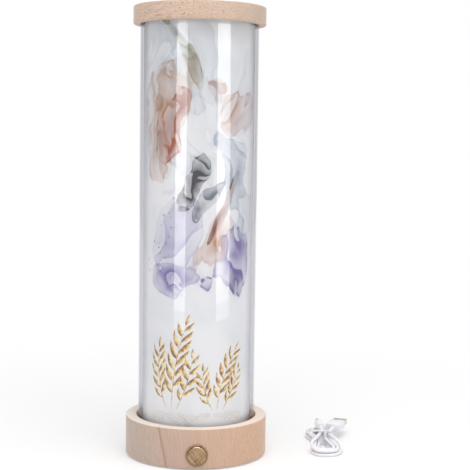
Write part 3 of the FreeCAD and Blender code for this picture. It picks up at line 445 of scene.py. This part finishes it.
class LAMP_OT_base(bpy.types.Operator):
    """Turned beech base with its recess, its pocket and its two holes"""

    bl_idname = "lamp.base"
    bl_label = "Base"

    def execute(self, context):
        wood = context.scene.lamp_wood
        low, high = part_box("base_shell")
        tube_low, tube_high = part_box("clear_tube")
        radius = high[0]
        recess = tube_high[0] + 1.5 * MM
        recess_floor = tube_low[2]
        deck_opening = 38.5 * MM
        deck_low = recess_floor - 4.0 * MM
        pocket = radius - 12.5 * MM
        rebate = radius - 6.5 * MM
        cover_top = low[2] + 2.5 * MM
        bm = bmesh.new()
        outline = [
            (rebate, low[2]), (radius, low[2]), (radius, high[2]), (recess, high[2]), (recess, recess_floor),
            (deck_opening, recess_floor), (deck_opening, deck_low), (pocket, deck_low), (pocket, cover_top),
            (rebate, cover_top),
        ]
        spun_into(bm, outline, WOOD_STEPS)
        soften(bm, ring_edges(bm, radius, high[2]), wood.rounding * 0.5)
        soften(bm, ring_edges(bm, radius, low[2]), wood.rounding * 1.4)
        soften(bm, ring_edges(bm, recess, high[2]), wood.rounding * 0.3, 3)
        base = new_object(bm, "base_turned")

        hole_gap = 0.3 * MM
        overshoot = 3.0 * MM
        holes = []
        for node, seat, side in (("switch_body", BEZEL_SEAT, -1), ("jack_body", SOCKET_FACE, 1)):
            left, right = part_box(node)
            wide = (right[0] - left[0]) / 2 + hole_gap
            deep = radius - seat + overshoot
            centre = Vector((0.0, side * (seat + deep / 2), (left[2] + right[2]) / 2))
            hole = bmesh.new()
            outline = [(0, -deep / 2), (wide, -deep / 2), (wide, deep / 2), (0, deep / 2)]
            spun_into(hole, outline, BRASS_STEPS, facing_front(centre))
            holes.append(new_object(hole, "hole_cutter"))
        cut_out(base, holes)
        # The base's end grain faces carry a painted highlight that whitens its top ring.
        plain_board = beech(
            "beech_base", wood, fibre_turn=(0.0, math.radians(101), 0.0), pith=(0, 30, 270),
            rings=wood.base_rings, ring_strength=1.0, sway_reach=9.0, heart=(215, 330),
            tones=(wood.grey, wood.rose, wood.warm), pore_strength=0.26, painted_end_light=0.6,
        )
        hand_over(base, plain_board, "base", "base_shell")
        return {"FINISHED"}


class LAMP_OT_lid(bpy.types.Operator):
    """Turned beech cap with the groove that the tube's end seats in"""

    bl_idname = "lamp.lid"
    bl_label = "Cap"

    def execute(self, context):
        wood = context.scene.lamp_wood
        low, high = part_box("lid")
        radius = high[0]
        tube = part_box("clear_tube")[1]
        groove = tube[0] + 0.3 * MM
        pocket = tube[0] - 3.3 * MM
        groove_top = tube[2] + 0.2 * MM
        pocket_top = low[2] + 10.8 * MM
        bm = bmesh.new()
        outline = [
            (groove, low[2]), (radius, low[2]), (radius, high[2]), (0, high[2]), (0, pocket_top),
            (pocket, pocket_top), (pocket, groove_top), (groove, groove_top),
        ]
        spun_into(bm, outline, WOOD_STEPS)
        soften(bm, ring_edges(bm, radius, high[2]), wood.rounding)
        soften(bm, ring_edges(bm, radius, low[2]), wood.rounding * 0.8)
        soften(bm, ring_edges(bm, groove, low[2]), wood.rounding * 0.3, 2)
        cap = new_object(bm, "cap_turned")
        figured_board = beech(
            "beech_cap", wood, fibre_turn=(0.12, 0.1, math.radians(38)), pith=(0, 60, -230),
            rings=wood.cap_rings, ring_strength=0.24, sway_reach=26.0, heart=(100, 195),
            tones=(wood.grey, wood.pale, wood.warm), pore_strength=0.85, painted_end_light=0.0,
        )
        hand_over(cap, figured_board, "cap", "lid")
        return {"FINISHED"}


# Tube


def clear_acrylic(tube):
    """Clear acrylic tube wall: mirror-like where it is seen edge on, with a grey cast along the wall."""
    material = bpy.data.materials.new("acrylic_clear")
    tree = cleared(material)
    drawn = noise(tree, in_millimetres(tree, (1.0, 1.0, 0.02)), 0.12, 1.0)
    facing = add(tree, "ShaderNodeLayerWeight", {"Blend": 0.5}, "Facing")
    mirror = calc(tree, "MULTIPLY_ADD", calc(tree, "POWER", facing, 5.0), 0.96, 0.04)
    cast = ramp(tree, facing, [
        (0.0, (0.985, 0.985, 0.985)), (0.52, (0.97, 0.97, 0.975)), (0.76, tube.tint), (0.9, (0.8, 0.8, 0.82)),
    ])
    clear = add(tree, "ShaderNodeBsdfTransparent", {"Color": cast})
    ripple = bump(tree, drawn, 0.04, 0.02 * MM)
    polished = add(tree, "ShaderNodeBsdfGlossy", {"Color": WHITE, "Roughness": 0.012, "Normal": ripple})
    wall = mixed_shaders(tree, mirror, clear, polished)
    through = add(tree, "ShaderNodeBsdfTransparent", {"Color": (0.96, 0.96, 0.965, 1.0)})
    in_shadow = add(tree, "ShaderNodeLightPath", None, "Is Shadow Ray")
    show(tree, mixed_shaders(tree, in_shadow, wall, through))
    return material


class LAMP_OT_tube(bpy.types.Operator):
    """Clear acrylic tube with polished ends"""

    bl_idname = "lamp.tube"
    bl_label = "Clear tube"

    def execute(self, context):
        tube = context.scene.lamp_tube
        low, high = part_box("clear_tube")
        outer = high[0]
        inner = outer - 3.0 * MM
        bm = bmesh.new()
        outline = [(inner, low[2]), (outer, low[2]), (outer, high[2]), (inner, high[2])]
        spun_into(bm, outline, TUBE_STEPS)
        for radius in (inner, outer):
            soften(bm, ring_edges(bm, radius, high[2]), tube.edge_rounding, 2)
        hand_over(new_object(bm, "tube_clear"), clear_acrylic(tube), "base", "clear_tube")
        return {"FINISHED"}


# Printed film

# Density of a veil from its middle to its edge, and across one of its folds
veil_body = ((0.0, 0.9), (0.45, 0.6), (0.74, 0.36), (0.815, 0.62), (0.85, 0.06), (1.0, 0.0))
veil_fold = ((0.0, 0.34), (0.12, 0.3), (0.6, 0.56), (0.9, 0.86), (0.96, 1.0), (1.0, 0.34))


def lay_veil(tree, surface, below, ink):
    """Lays a veil of thinned ink over the colour below, with overlapping folds and a dark rim."""
    colour, centre, reach, turn, seed, folds, strength = ink
    moved = vector_calc(tree, "SUBTRACT", surface, (centre[0], centre[1], 0.0))
    turned = mapped(tree, moved, turn=(0, 0, math.radians(turn)))
    shrunk = vector_calc(tree, "MULTIPLY", turned, (1 / reach[0], 1 / reach[1], 0.0))
    away = vector_calc(tree, "LENGTH", shrunk)
    seeded = mapped(tree, surface, (1.0, 0.6, 1.0), shift=(0.0, 0.0, seed * 37.0))
    ragged = noise(tree, seeded, 1 / 26.0, 4.0, 0.45)
    inside = ranged(tree, calc(tree, "MULTIPLY_ADD", ragged, 2.4, away), 0.0, 1.0, 1.0, 2.4)
    body = ramp(tree, inside, veil_body)
    fold_field = noise(tree, seeded, 1 / 34.0, 3.0, 0.4, 0.9)
    fold = calc(tree, "FRACT", calc(tree, "MULTIPLY", fold_field, folds))
    silk = ramp(tree, fold, veil_fold)
    cover = calc(tree, "MULTIPLY", calc(tree, "MULTIPLY", body, silk), strength, clamp=True)
    return mixed(tree, cover, below, rgba(linear(colour)), "MULTIPLY")


# Each veil: colour, centre round and up, reach, turn in degrees, seed, folds, strength
veils = (
    ("A9B8C0", (26, 330), (56, 66), 15, 1, 6.0, 0.5),
    ("B4BECB", (-36, 312), (42, 76), -12, 2, 6.0, 0.9),
    ("8F8F45", (-18, 348), (7, 36), -24, 3, 5.0, 1.8),
    ("D0935F", (-30, 292), (24, 40), 18, 4, 5.0, 1.3),
    ("C9601E", (-24, 280), (10, 28), 28, 5, 6.0, 1.9),
    ("C0805E", (34, 300), (15, 30), -30, 6, 5.0, 1.5),
    ("2E2B33", (-12, 240), (8, 26), 30, 27, 6.0, 2.3),
    ("6D7482", (6, 226), (8, 28), 58, 8, 4.0, 1.8),
    ("8496B2", (36, 236), (18, 46), -18, 9, 5.0, 1.3),
    ("94492E", (18, 206), (5, 34), 34, 10, 4.0, 2.4),
    ("7F6FB4", (30, 168), (26, 22), 20, 11, 6.0, 2.0),
    ("C98C68", (12, 188), (16, 20), -10, 12, 4.0, 1.4),
    ("5B4596", (38, 152), (12, 8), -15, 13, 5.0, 2.2),
    ("9A92C6", (-24, 192), (24, 44), -14, 14, 5.0, 1.0),
    ("8C7DBE", (-18, 160), (20, 13), -25, 15, 5.0, 1.5),
)

# Two flows that push the print about: size and reach in millimetres
flows = ((80.0, (58.0, 46.0, 0.0)), (24.0, (12.0, 12.0, 0.0)))


def printed_film(settings):
    """Printed polyester film: a pale ground with veils of thinned ink, under a soft gloss."""
    material = bpy.data.materials.new("film_printed")
    tree = cleared(material)
    place = in_millimetres(tree)
    x, y, z = add(tree, "ShaderNodeSeparateXYZ", {0: place}).node.outputs
    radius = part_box("print_film")[1][0] / MM
    angle = calc(tree, "ARCTAN2", x, calc(tree, "ABSOLUTE", y))
    surface = add(tree, "ShaderNodeCombineXYZ", {"X": calc(tree, "MULTIPLY", angle, radius), "Y": z})
    for size, reach in flows:
        flow = noise(tree, place, 1 / size, 1.0).node.outputs["Color"]
        centred = vector_calc(tree, "SUBTRACT", flow, (0.5, 0.5, 0.5))
        surface = vector_calc(tree, "MULTIPLY_ADD", centred, reach, surface)
    mist = noise(tree, surface, 1 / 60.0, 3.0)
    colour = ramp(tree, mist, [(0.3, linear("E2E6E9")), (0.52, settings.ground), (0.72, linear("F3F2F2"))])
    for ink in veils:
        colour = lay_veil(tree, surface, colour, ink)
    show(tree, principled(tree, colour, 0.35, {"IOR": 1.5, "Specular IOR Level": 0.35}))
    return material


def gold_print(name, settings, cover):
    """Gold ink printed in tones: each leaf is light on one side of its vein and brown on the other."""
    material = bpy.data.materials.new(name)
    tree = cleared(material)
    cloud = noise(tree, in_millimetres(tree), 0.3, 3.0)
    side = add(tree, "ShaderNodeAttribute", None, "Fac", attribute_name="side")
    colour = ramp(tree, calc(tree, "MULTIPLY_ADD", side, 0.42, cloud), [
        (0.5, settings.gold_dark), (0.65, settings.gold), (0.84, settings.gold_light),
        (0.97, linear("FFF3D2")),
    ])
    bare = add(tree, "ShaderNodeBsdfTransparent")
    show(tree, mixed_shaders(tree, cover, bare, principled(tree, colour, 0.4, {})))
    return material


def along_bend(foot, heading, length, bend, share):
    """The point at a share of the length of a stem or a vein that bends from its foot."""
    half_way = heading + bend * share * 0.5
    return foot[0] + length * share * math.sin(half_way), foot[1] + length * share * math.cos(half_way)


def leaf_into(bm, foot, heading, length, width, bend):
    """Adds a flat leaf to a drawing in millimetres, X along the film and Y up."""
    side_layer = bm.verts.layers.float["side"]
    for vert in bmesh.ops.create_grid(bm, x_segments=12, y_segments=2, size=0.5)["verts"]:
        along = vert.co.x + 0.5
        side = vert.co.y
        turn = heading + bend * along
        spread = width * (math.sin(math.pi * along ** 0.8) + 0.06)
        x, y = along_bend(foot, heading, length, bend, along)
        vert[side_layer] = side + 0.5
        vert.co = (x + side * spread * math.cos(turn), y - side * spread * math.sin(turn), 0.0)


def sprig_into(bm, foot, heading, length, bend, leaf, count):
    """A curved stem with leaves on both sides, the longest in its middle."""
    stem_width = 0.9
    leaf_into(bm, foot, heading, length, stem_width, bend)
    for i in range(count):
        share = 0.2 + 0.8 * i / (count - 1)
        place = along_bend(foot, heading, length, bend, share)
        side = 0 if i == count - 1 else 1 if i % 2 else -1
        size = leaf * (0.62 + 0.38 * math.sin(math.pi * share))
        leaf_into(bm, place, heading + bend * share + side * 0.8, size, size * 0.27, -side * 0.5)


def wrapped(bm, name, material, radius, half_turn):
    """Wraps a flat drawing in millimetres round the drum and rides it on the drum."""
    for vert in bm.verts:
        turn = vert.co.x * MM / radius + half_turn
        vert.co = (radius * math.sin(turn), -radius * math.cos(turn), vert.co.y * MM)
    piece = new_object(bm, name)
    piece.data.materials.append(material)
    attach(piece, "drum")


# Each sprig: foot, heading, length, bend, length of its leaves, number of leaves
sprigs = (
    ((-27, 0), -0.42, 52, 0.55, 15, 11), ((-22, 0), 0.02, 72, 0.3, 17, 13), ((-18, 0), 0.5, 46, -0.4, 14, 9),
    ((13, 0), -0.5, 34, 0.5, 12, 9), ((17, 0), 0.1, 52, 0.5, 15, 11), ((22, 0), 0.62, 36, -0.3, 12, 9),
)


def new_drawing():
    bm = bmesh.new()
    bm.verts.layers.float.new("side")
    return bm


def draw_sprigs(line, height_share):
    """The sprigs that stand on the ground line, or with a negative share their reflection below it."""
    bm = new_drawing()
    for sprig in sprigs:
        sprig_into(bm, *sprig)
    for vert in bm.verts:
        vert.co.y = line + vert.co.y * height_share
    return bm


def draw_petals():
    """Small petals that drift down to the left in a loose line."""
    bm = new_drawing()
    for i in range(34):
        sway = math.sin(i * 2.4) * 9.0
        place = (-6.0 - i * 1.15 + sway, 232.0 - i * 2.1 + math.cos(i * 1.7) * 7.0)
        leaf_into(bm, place, i * 1.3, 1.5 + 0.7 * math.sin(i * 3.1), 0.8, 0.9)
    return bm


class LAMP_OT_print(bpy.types.Operator):
    """Printed film drum with its veils of ink, golden sprigs and drifting petals"""

    bl_idname = "lamp.printed_film"
    bl_label = "Printed film"

    def execute(self, context):
        settings = context.scene.lamp_print
        low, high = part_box("print_film")
        outer = high[0]
        inner = outer - 0.3 * MM
        bm = bmesh.new()
        outline = [(inner, low[2]), (outer, low[2]), (outer, high[2]), (inner, high[2])]
        spun_into(bm, outline, TUBE_STEPS)
        hand_over(new_object(bm, "film_print"), printed_film(settings), "drum", "print_film")

        line = settings.ground_line / MM
        gold = gold_print("print_gold", settings, 1.0)
        faint = gold_print("print_gold_faint", settings, 0.1)
        slate = moulded("print_slate", linear("5A5C66"), 0.4, 0.5, 0.0)
        lift = outer + 0.06 * MM
        reflected_line = line - 0.6
        flattening = -0.16
        for half_turn in (0.0, math.pi):
            wrapped(draw_sprigs(line, 1.0), "print_sprigs", gold, lift, half_turn)
            wrapped(draw_sprigs(reflected_line, flattening), "print_reflection", faint, lift, half_turn)
            wrapped(draw_petals(), "print_petals", slate, lift, half_turn)
        return {"FINISHED"}


# Push button


def brushed_brass(name, colour, height):
    """Turned brass: the lathe's fine rings stretch each highlight across the face. Over them lie crossed
    streaks, drawn about 1 mm wide so that they show, partly brush marks and partly a painted highlight:
    their lighter and darker tones stand in for the X of reflections that a turned face shows."""
    material = bpy.data.materials.new(name)
    tree = cleared(material)
    fields = []
    for slant in (38, -44):
        place = in_millimetres(tree, (0.9, 0.9, 0.1), (0.0, math.radians(slant), 0.0), (0.0, 0.0, -height))
        fields.append(noise(tree, place, 1.0, 3.0))
    # Painted highlight: the crossed streaks make the face lighter and darker in an X, standing in for the
    # turned face's reflections; they also set its roughness and bump as brush marks.
    streaks_and_painted_glint = calc(tree, "MULTIPLY", *fields)
    darker = tuple(c * 0.66 for c in colour)
    lighter = tuple(min(1.0, c * 1.2) for c in colour)
    tone = ramp(tree, streaks_and_painted_glint, [(0.17, darker), (0.26, colour), (0.35, lighter)])
    surface = principled(tree, tone, ranged(tree, streaks_and_painted_glint, 0.22, 0.5), {
        "Metallic": 1.0, "Anisotropic": 0.8, "Normal": bump(tree, streaks_and_painted_glint, 0.2, 0.03 * MM),
        "Tangent": add(tree, "ShaderNodeTangent", direction_type="RADIAL", axis="Y"),
    })
    show(tree, surface)
    return material


def front_piece(outline, height, rims, name):
    """An object turned about a line along -Y, with rounded rims of (radius, height, width, segments)."""
    bm = bmesh.new()
    spun_into(bm, outline, BRASS_STEPS)
    for radius, along, width, segments in rims:
        soften(bm, ring_edges(bm, radius, along), width, segments)
    bmesh.ops.transform(bm, matrix=facing_front((0, 0, height)), verts=bm.verts)
    return new_object(bm, name, 30.0)


class LAMP_OT_button(bpy.types.Operator):
    """Brass push button in its bezel"""

    bl_idname = "lamp.button"
    bl_label = "Push button"

    def execute(self, context):
        metals = context.scene.lamp_metal
        low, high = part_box("button_cap")
        height = (low[2] + high[2]) / 2
        radius = high[0]
        front = -low[1]
        stem_end = -high[1]
        stem = 4.0 * MM
        disc_back = 60.6 * MM
        bevel = metals.button_bevel
        corner = 0.15 * MM
        outline = [
            (0, stem_end), (stem, stem_end), (stem, disc_back), (radius, disc_back), (radius, front - bevel),
            (radius - bevel, front), (0, front),
        ]
        rims = ((radius - bevel, front, corner, 2), (radius, front - bevel, corner, 2))
        button = front_piece(outline, height, rims, "button_brass")
        hand_over(button, brushed_brass("brass_brushed_painted_glint", metals.brass, height / MM), "button", "button_cap")

        low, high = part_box("switch_body")
        radius = high[0]
        front = -low[1]
        barrel_end = -high[1]
        bore = 4.06 * MM
        barrel = 6.0 * MM
        inner = radius - 0.8 * MM
        well = BEZEL_SEAT + 1.2 * MM
        outline = [
            (bore, barrel_end), (barrel, barrel_end), (barrel, BEZEL_SEAT), (radius, BEZEL_SEAT),
            (radius, front), (inner, front), (inner, well), (bore, well),
        ]
        rims = ((radius, front, 0.35 * MM, 4), (inner, front, 0.2 * MM, 3))
        bezel = front_piece(outline, height, rims, "bezel_brass")
        hand_over(bezel, metal("brass_aged", metals.brass_dark, 0.28, 1.2), "base", "switch_body")
        return {"FINISHED"}


# Cable


class HankRoute:
    """The cable's line in millimetres from the middle of the hank, with the sizes that the CAD uses."""

    def __init__(self, cable):
        self.radius = cable.diameter / MM / 2
        self.waist_half = cable.waist_half / MM
        self.bulge_half = cable.bulge_half / MM
        self.tip_half = cable.tip_half / MM
        self.waist_step = 3.75
        self.bulge_step = 3.7
        self.tip_step = 3.7
        self.fan = 1.6
        self.reverse = 2.0
        self.layer_step = 3.6
        self.waist_lift = 0.9
        self.floor_gap = 0.1
        self.plug_level = 10.9
        self.round_end = (1.9, 11.5)
        self.flat_end = (11.4, 15.6)
        self.first_turn = 0.1875
        self.last_turn = 3.3125
        self.points_per_turn = 16

    def place(self, turn):
        """A point of the loops, which are waisted at the tie and widest near their ends."""
        phase = 2 * math.pi * turn
        inwards = abs(turn - self.reverse)
        fall = min(1.0, max(0.0, (turn - self.reverse) / 0.5 + 0.5))
        wider = min(1.0, max(0.0, (turn - self.reverse - 0.125) / 0.375))
        waist = self.waist_half + self.waist_step * inwards
        bulge = self.bulge_half + self.bulge_step * inwards + self.fan * wider
        tip = self.tip_half + self.tip_step * inwards + self.fan * wider
        swell = 2 * (math.sqrt(2) * bulge - waist) * math.sin(phase) ** 2
        height = self.radius + self.floor_gap + self.layer_step * (1 - fall)
        return (
            -math.cos(phase) * (waist + swell), -tip * math.sin(phase),
            height + self.waist_lift * math.cos(phase) ** 4,
        )

    def points(self):
        """From the round plug over the middle, through the loops, and up to the flat plug."""
        level = self.plug_level
        route = [(*self.round_end, level), (1.9, 8.5, level), (-4.5, -9.0, level - 1.0)]
        route.append((-12.7, -24.0, level - 3.3))
        count = round((self.last_turn - self.first_turn) * self.points_per_turn)
        for i in range(count + 1):
            route.append(self.place(self.first_turn + i / self.points_per_turn))
        route += [(15.7, -25.0, 3.0), (13.2, -12.5, 7.8), (6.2, 0.5, 10.2), (10.3, 12.8, level)]
        route.append((*self.flat_end, level))
        return route


hank_middle = Vector((0.112, 0.020, 0.0))

# The round plug's body past its ribs: radius and distance from the cable's end, in millimetres
round_plug_outline = (
    (3.3, 9.4), (3.75, 10.1), (3.9, 11.2), (3.9, 22.0), (3.7, 25.4), (3.3, 26.6), (2.9, 27.2), (2.2, 27.4),
    (0, 27.4),
)


def plug_frame(end, level, turn):
    """A frame whose Z runs along a plug, from the end of the cable."""
    place = hank_middle + Vector((*end, level)) * MM
    return (
        Matrix.Translation(place) @ Matrix.Rotation(math.radians(-turn), 4, "Z")
        @ Matrix.Rotation(math.radians(-90), 4, "X")
    )


def ribbed(length, radius, count, groove):
    """Outline of a strain relief with rounded ribs, from its thin end."""
    pitch = length / count
    points = []
    for i in range(count):
        for along, depth in ((0.0, 0.25), (0.12, 0.0), (0.5, 0.0), (0.62, 0.25), (0.66, 1.0), (0.94, 1.0)):
            points.append((radius - groove * depth, i * pitch + pitch * along))
    return points


def in_metres(outline):
    return [(radius * MM, height * MM) for radius, height in outline]


class LAMP_OT_cable(bpy.types.Operator):
    """Supply cable, tied as a hank, with its round plug and its flat plug"""

    bl_idname = "lamp.cable"
    bl_label = "Supply cable"

    def execute(self, context):
        cable = context.scene.lamp_cable
        metals = context.scene.lamp_metal
        cover = moulded("pvc_white", cable.cover, 0.34, 0.6, 0.03, 0.02)
        curve = bpy.data.curves.new("cable_line", "CURVE")
        curve.dimensions = "3D"
        curve.bevel_depth = cable.diameter / 2
        curve.bevel_resolution = 5
        curve.resolution_u = 6
        curve.use_fill_caps = True
        spline = curve.splines.new("NURBS")
        route = HankRoute(cable)
        points = [hank_middle + Vector(p) * MM for p in route.points()]
        spline.points.add(len(points) - 1)
        for point, place in zip(spline.points, points):
            point.co = (*place, 1.0)
        spline.order_u = 3
        spline.use_endpoint_u = True
        cord = placed("cable", curve)
        curve.materials.append(cover)
        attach(cord, "base")
        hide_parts("cable_hank")

        bm = bmesh.new()
        outline = in_metres([(0, 0), *ribbed(9.4, 2.3, 4, 0.4), *round_plug_outline])
        spun_into(bm, outline, 48, plug_frame(route.round_end, route.plug_level, 0.0))
        round_plug = new_object(bm, "plug_round_body", 50.0)
        hand_over(round_plug, cover, "base", "dc_plug_body")

        wide, thick, long, start = (14.0 * MM, 7.6 * MM, 17.0 * MM, 4.0 * MM)
        flat_frame = plug_frame(route.flat_end, route.plug_level, 22.0)
        bm = bmesh.new()
        box = bmesh.ops.create_cube(bm, size=1.0)["verts"]
        size = Matrix.Diagonal((wide, thick, long, 1.0))
        lift = Matrix.Translation((0, 0, start + long / 2))
        bmesh.ops.transform(bm, matrix=lift @ size, verts=box)

        def rise(edge):
            return abs(edge.verts[0].co.z - edge.verts[1].co.z)

        soften(bm, [e for e in bm.edges if rise(e) > MM], 1.6 * MM, 5)
        soften(bm, [e for e in bm.edges if rise(e) < 0.01 * MM], 0.6 * MM, 3)
        bmesh.ops.transform(bm, matrix=flat_frame, verts=bm.verts)
        outline = in_metres([(0, 0), *ribbed(4.2, 2.3, 2, 0.35), (2.2, 4.6), (0, 4.6)])
        spun_into(bm, outline, 32, flat_frame)
        flat_plug = new_object(bm, "plug_flat_body", 50.0)
        hand_over(flat_plug, cover, "base", "usb_plug_body")

        nickel = metal("nickel_plated", metals.nickel, 0.22, 2.5)
        dress(nickel, "usb_shell", "dc_plug_sleeve")
        dress(cover, "usb_tongue", "cable_tie")
        dress(metal("gold_flash", linear("D9B25F"), 0.25, 1.5), "usb_contacts")
        dress(moulded("insulator_black", linear("141414"), 0.45, 0.5, 0.02), "dc_plug_insulator")
        return {"FINISHED"}


# Inner pieces

# Each moulding: name, colour, roughness, size and height of the grain in millimetres, mottle, nodes
mouldings = (
    ("abs_white", "E4E4E0", 0.5, 0.7, 0.05, 0.04,
     "bottom_cover chassis turntable drum_top_ring column_foot column_head"),
    ("nylon_white", "EDEBE2", 0.42, 0.5, 0.02, 0.04, "board_sockets"),
    ("acetal_cream", "EFE8D6", 0.4, 0.5, 0.03, 0.04, "drive_pinion"),
    ("rubber_black", "232323", 0.8, 0.4, 0.08, 0.04, "rubber_feet"),
    ("strip_white", "F2F1EC", 0.35, 0.8, 0.02, 0.04, "led_strips"),
    ("phosphor_yellow", "EBCF6B", 0.3, 0.4, 0.02, 0.04, "led_chips"),
    ("phenolic_black", "171717", 0.4, 0.5, 0.03, 0.04, "contact_block jack_body board_chips"),
    ("solder_mask_green", "1E6B43", 0.3, 1.6, 0.04, 0.1, "control_board"),
    ("pvc_red", "B02A22", 0.4, 0.6, 0.02, 0.04, "supply_leads switch_leads motor_leads led_leads"),
)


class LAMP_OT_inside(bpy.types.Operator):
    """Finishes of the drive, the light column, the switch, the socket and the board"""

    bl_idname = "lamp.inside"
    bl_label = "Inner pieces"

    def execute(self, context):
        metals = context.scene.lamp_metal
        for name, code, roughness, grain, height, mottle, names in mouldings:
            dress(moulded(name, linear(code), roughness, grain, height, mottle), *names.split())
        zinc = metal("steel_zinc_plated", metals.steel, 0.32, 2.0)
        dress(zinc, "cover_screws", "chassis_screws", "motor_screws", "board_screws")
        dress(zinc, "jack_nut", "switch_nut", "gear_motor")
        dress(metal("steel_ground", metals.steel, 0.18, 3.0, (6.0, 6.0, 0.3)), "motor_shaft", "pivot_pin")
        dress(metal("brass_turned", metals.brass, 0.25, 1.5), "thrust_washer", "top_bush", "jack_pin")
        dress(metal("aluminium_extruded", linear("D5D6D8"), 0.36, 1.2, (5.0, 5.0, 0.06)), "light_column")
        dress(metal("tinned_copper", linear("D6D6D2"), 0.24, 1.0), "switch_terminals", "jack_terminals")
        return {"FINISHED"}


# Stage


def place_camera(lens):
    """The photograph's own view: from a little above the tube's middle, slightly down and to the right."""
    camera = bpy.data.cameras.new("camera")
    camera.lens = lens
    camera.sensor_width = 36.0
    camera.clip_start = 0.05
    camera.clip_end = 50.0
    eye = placed("camera", camera)
    pitch = 0.0802
    yaw = 0.0489
    roll = 0.0129
    place = Matrix.Translation((-0.0168, -0.9946, 0.2688))
    level = Matrix.Rotation(-yaw, 4, "Z") @ Matrix.Rotation(math.pi / 2 - pitch, 4, "X")
    eye.matrix_world = place @ (level @ Matrix.Rotation(roll, 4, "Z"))
    bpy.context.scene.camera = eye


def area_light(name, width, height, radiance, place, direction):
    """A rectangular light that shines against a direction and isn't seen by the camera."""
    light = bpy.data.lights.new(name, "AREA")
    light.shape = "RECTANGLE"
    light.size = width
    light.size_y = height
    light.energy = radiance * math.pi * width * height
    lamp = placed(name, light)
    lamp.visible_camera = False
    lamp.matrix_world = Matrix.Translation(place) @ direction.to_track_quat("Z", "Y").to_matrix().to_4x4()
    return lamp


def soft_box(name, bearing, width, low, radiance):
    """A tall soft box that faces the lamp, with its lower end fading out in steps."""
    distance = 1.2
    high = 0.95
    fade_steps = 2
    step = 0.05
    direction = Vector((math.sin(bearing), -math.cos(bearing), 0.0))
    pieces = [(low, high, 1.0)]
    for i in range(fade_steps):
        top = low - i * step
        pieces.append((top - step, top, 1.0 - (i + 1) / (fade_steps + 1)))
    for i, (bottom, top, share) in enumerate(pieces):
        place = direction * distance + Vector((0.0, 0.0, (bottom + top) / 2))
        lamp = area_light(name + str(i), width, top - bottom, radiance * share, place, direction)
        lamp.visible_diffuse = False


def pale_floor(colour):
    """Matt pale floor that keeps the lamp's shadow and turns to plain white further out."""
    material = bpy.data.materials.new("floor_pale")
    tree = cleared(material)
    rays = add(tree, "ShaderNodeLightPath").node.outputs
    seen = calc(tree, "MAXIMUM", rays["Is Camera Ray"], rays["Is Glossy Ray"])
    seen = calc(tree, "MAXIMUM", seen, rays["Is Transmission Ray"])
    away = vector_calc(tree, "LENGTH", add(tree, "ShaderNodeTexCoord", None, "Object"))
    far = ranged(tree, away, 0.0, 1.0, 0.2, 0.6, interpolation_type="SMOOTHSTEP")
    share = calc(tree, "MULTIPLY", seen, ranged(tree, far, 0.3, 1.0))
    matt = add(tree, "ShaderNodeBsdfDiffuse", {"Color": rgba(colour)})
    white = add(tree, "ShaderNodeEmission", {"Color": WHITE, "Strength": 1.0})
    show(tree, mixed_shaders(tree, share, matt, white))
    return material


def room(strength):
    """White surroundings whose light on the lamp is weaker than they look."""
    world = bpy.data.worlds.new("room")
    tree = cleared(world)
    rays = add(tree, "ShaderNodeLightPath").node.outputs
    seen = calc(tree, "MAXIMUM", rays["Is Camera Ray"], rays["Is Transmission Ray"])
    level = ranged(tree, seen, strength, 1.0)
    background = add(tree, "ShaderNodeBackground", {"Color": WHITE, "Strength": level})
    show(tree, background, "ShaderNodeOutputWorld")
    return world


class LAMP_OT_stage(bpy.types.Operator):
    """Floor, room light, soft boxes, top light and camera"""

    bl_idname = "lamp.stage"
    bl_label = "Stage"

    def execute(self, context):
        stage = context.scene.lamp_stage
        context.scene.view_settings.view_transform = "Standard"
        context.scene.world = room(stage.room_light)

        bm = bmesh.new()
        bmesh.ops.create_grid(bm, x_segments=2, y_segments=2, size=6.0)
        floor = new_object(bm, "floor")
        floor.data.materials.append(pale_floor(stage.floor))

        for name, bearing, width, low in (("box_left", -35.0, 0.46, 0.14), ("box_right", 48.5, 0.58, 0.16)):
            soft_box(name, math.radians(bearing), width, low, stage.box_radiance)
        top = Vector((0.1, -0.6, 1.65))
        top_width = 1.3
        area_light("top_light", top_width, top_width, stage.top_radiance, top, top)
        place_camera(stage.lens)
        return {"FINISHED"}


class LAMP_PT_panel(bpy.types.Panel):
    """Lists the steps that dress the lamp"""

    bl_idname = "LAMP_PT_panel"
    bl_label = "Motion lamp"
    bl_space_type = "VIEW_3D"
    bl_region_type = "UI"
    bl_category = "Motion lamp"

    def draw(self, context):
        for step in steps:
            self.layout.operator(step.bl_idname)
        for name, group in settings_groups.items():
            box = self.layout.box()
            values = getattr(context.scene, name)
            for field in group.__annotations__:
                box.prop(values, field)


steps = [
    LAMP_OT_stage, LAMP_OT_cable, LAMP_OT_base, LAMP_OT_lid, LAMP_OT_tube, LAMP_OT_print, LAMP_OT_button,
    LAMP_OT_inside,
]


def register():
    for name, group in settings_groups.items():
        bpy.utils.register_class(group)
        setattr(bpy.types.Scene, name, PointerProperty(type=group))
    for step in steps:
        bpy.utils.register_class(step)
    bpy.utils.register_class(LAMP_PT_panel)


def unregister():
    bpy.utils.unregister_class(LAMP_PT_panel)
    for step in reversed(steps):
        bpy.utils.unregister_class(step)
    for name, group in settings_groups.items():
        delattr(bpy.types.Scene, name)
        bpy.utils.unregister_class(group)


def main():
    register()
    for step in steps:
        family, action = step.bl_idname.split(".")
        getattr(getattr(bpy.ops, family), action)()


if __name__ == "__main__":
    main()
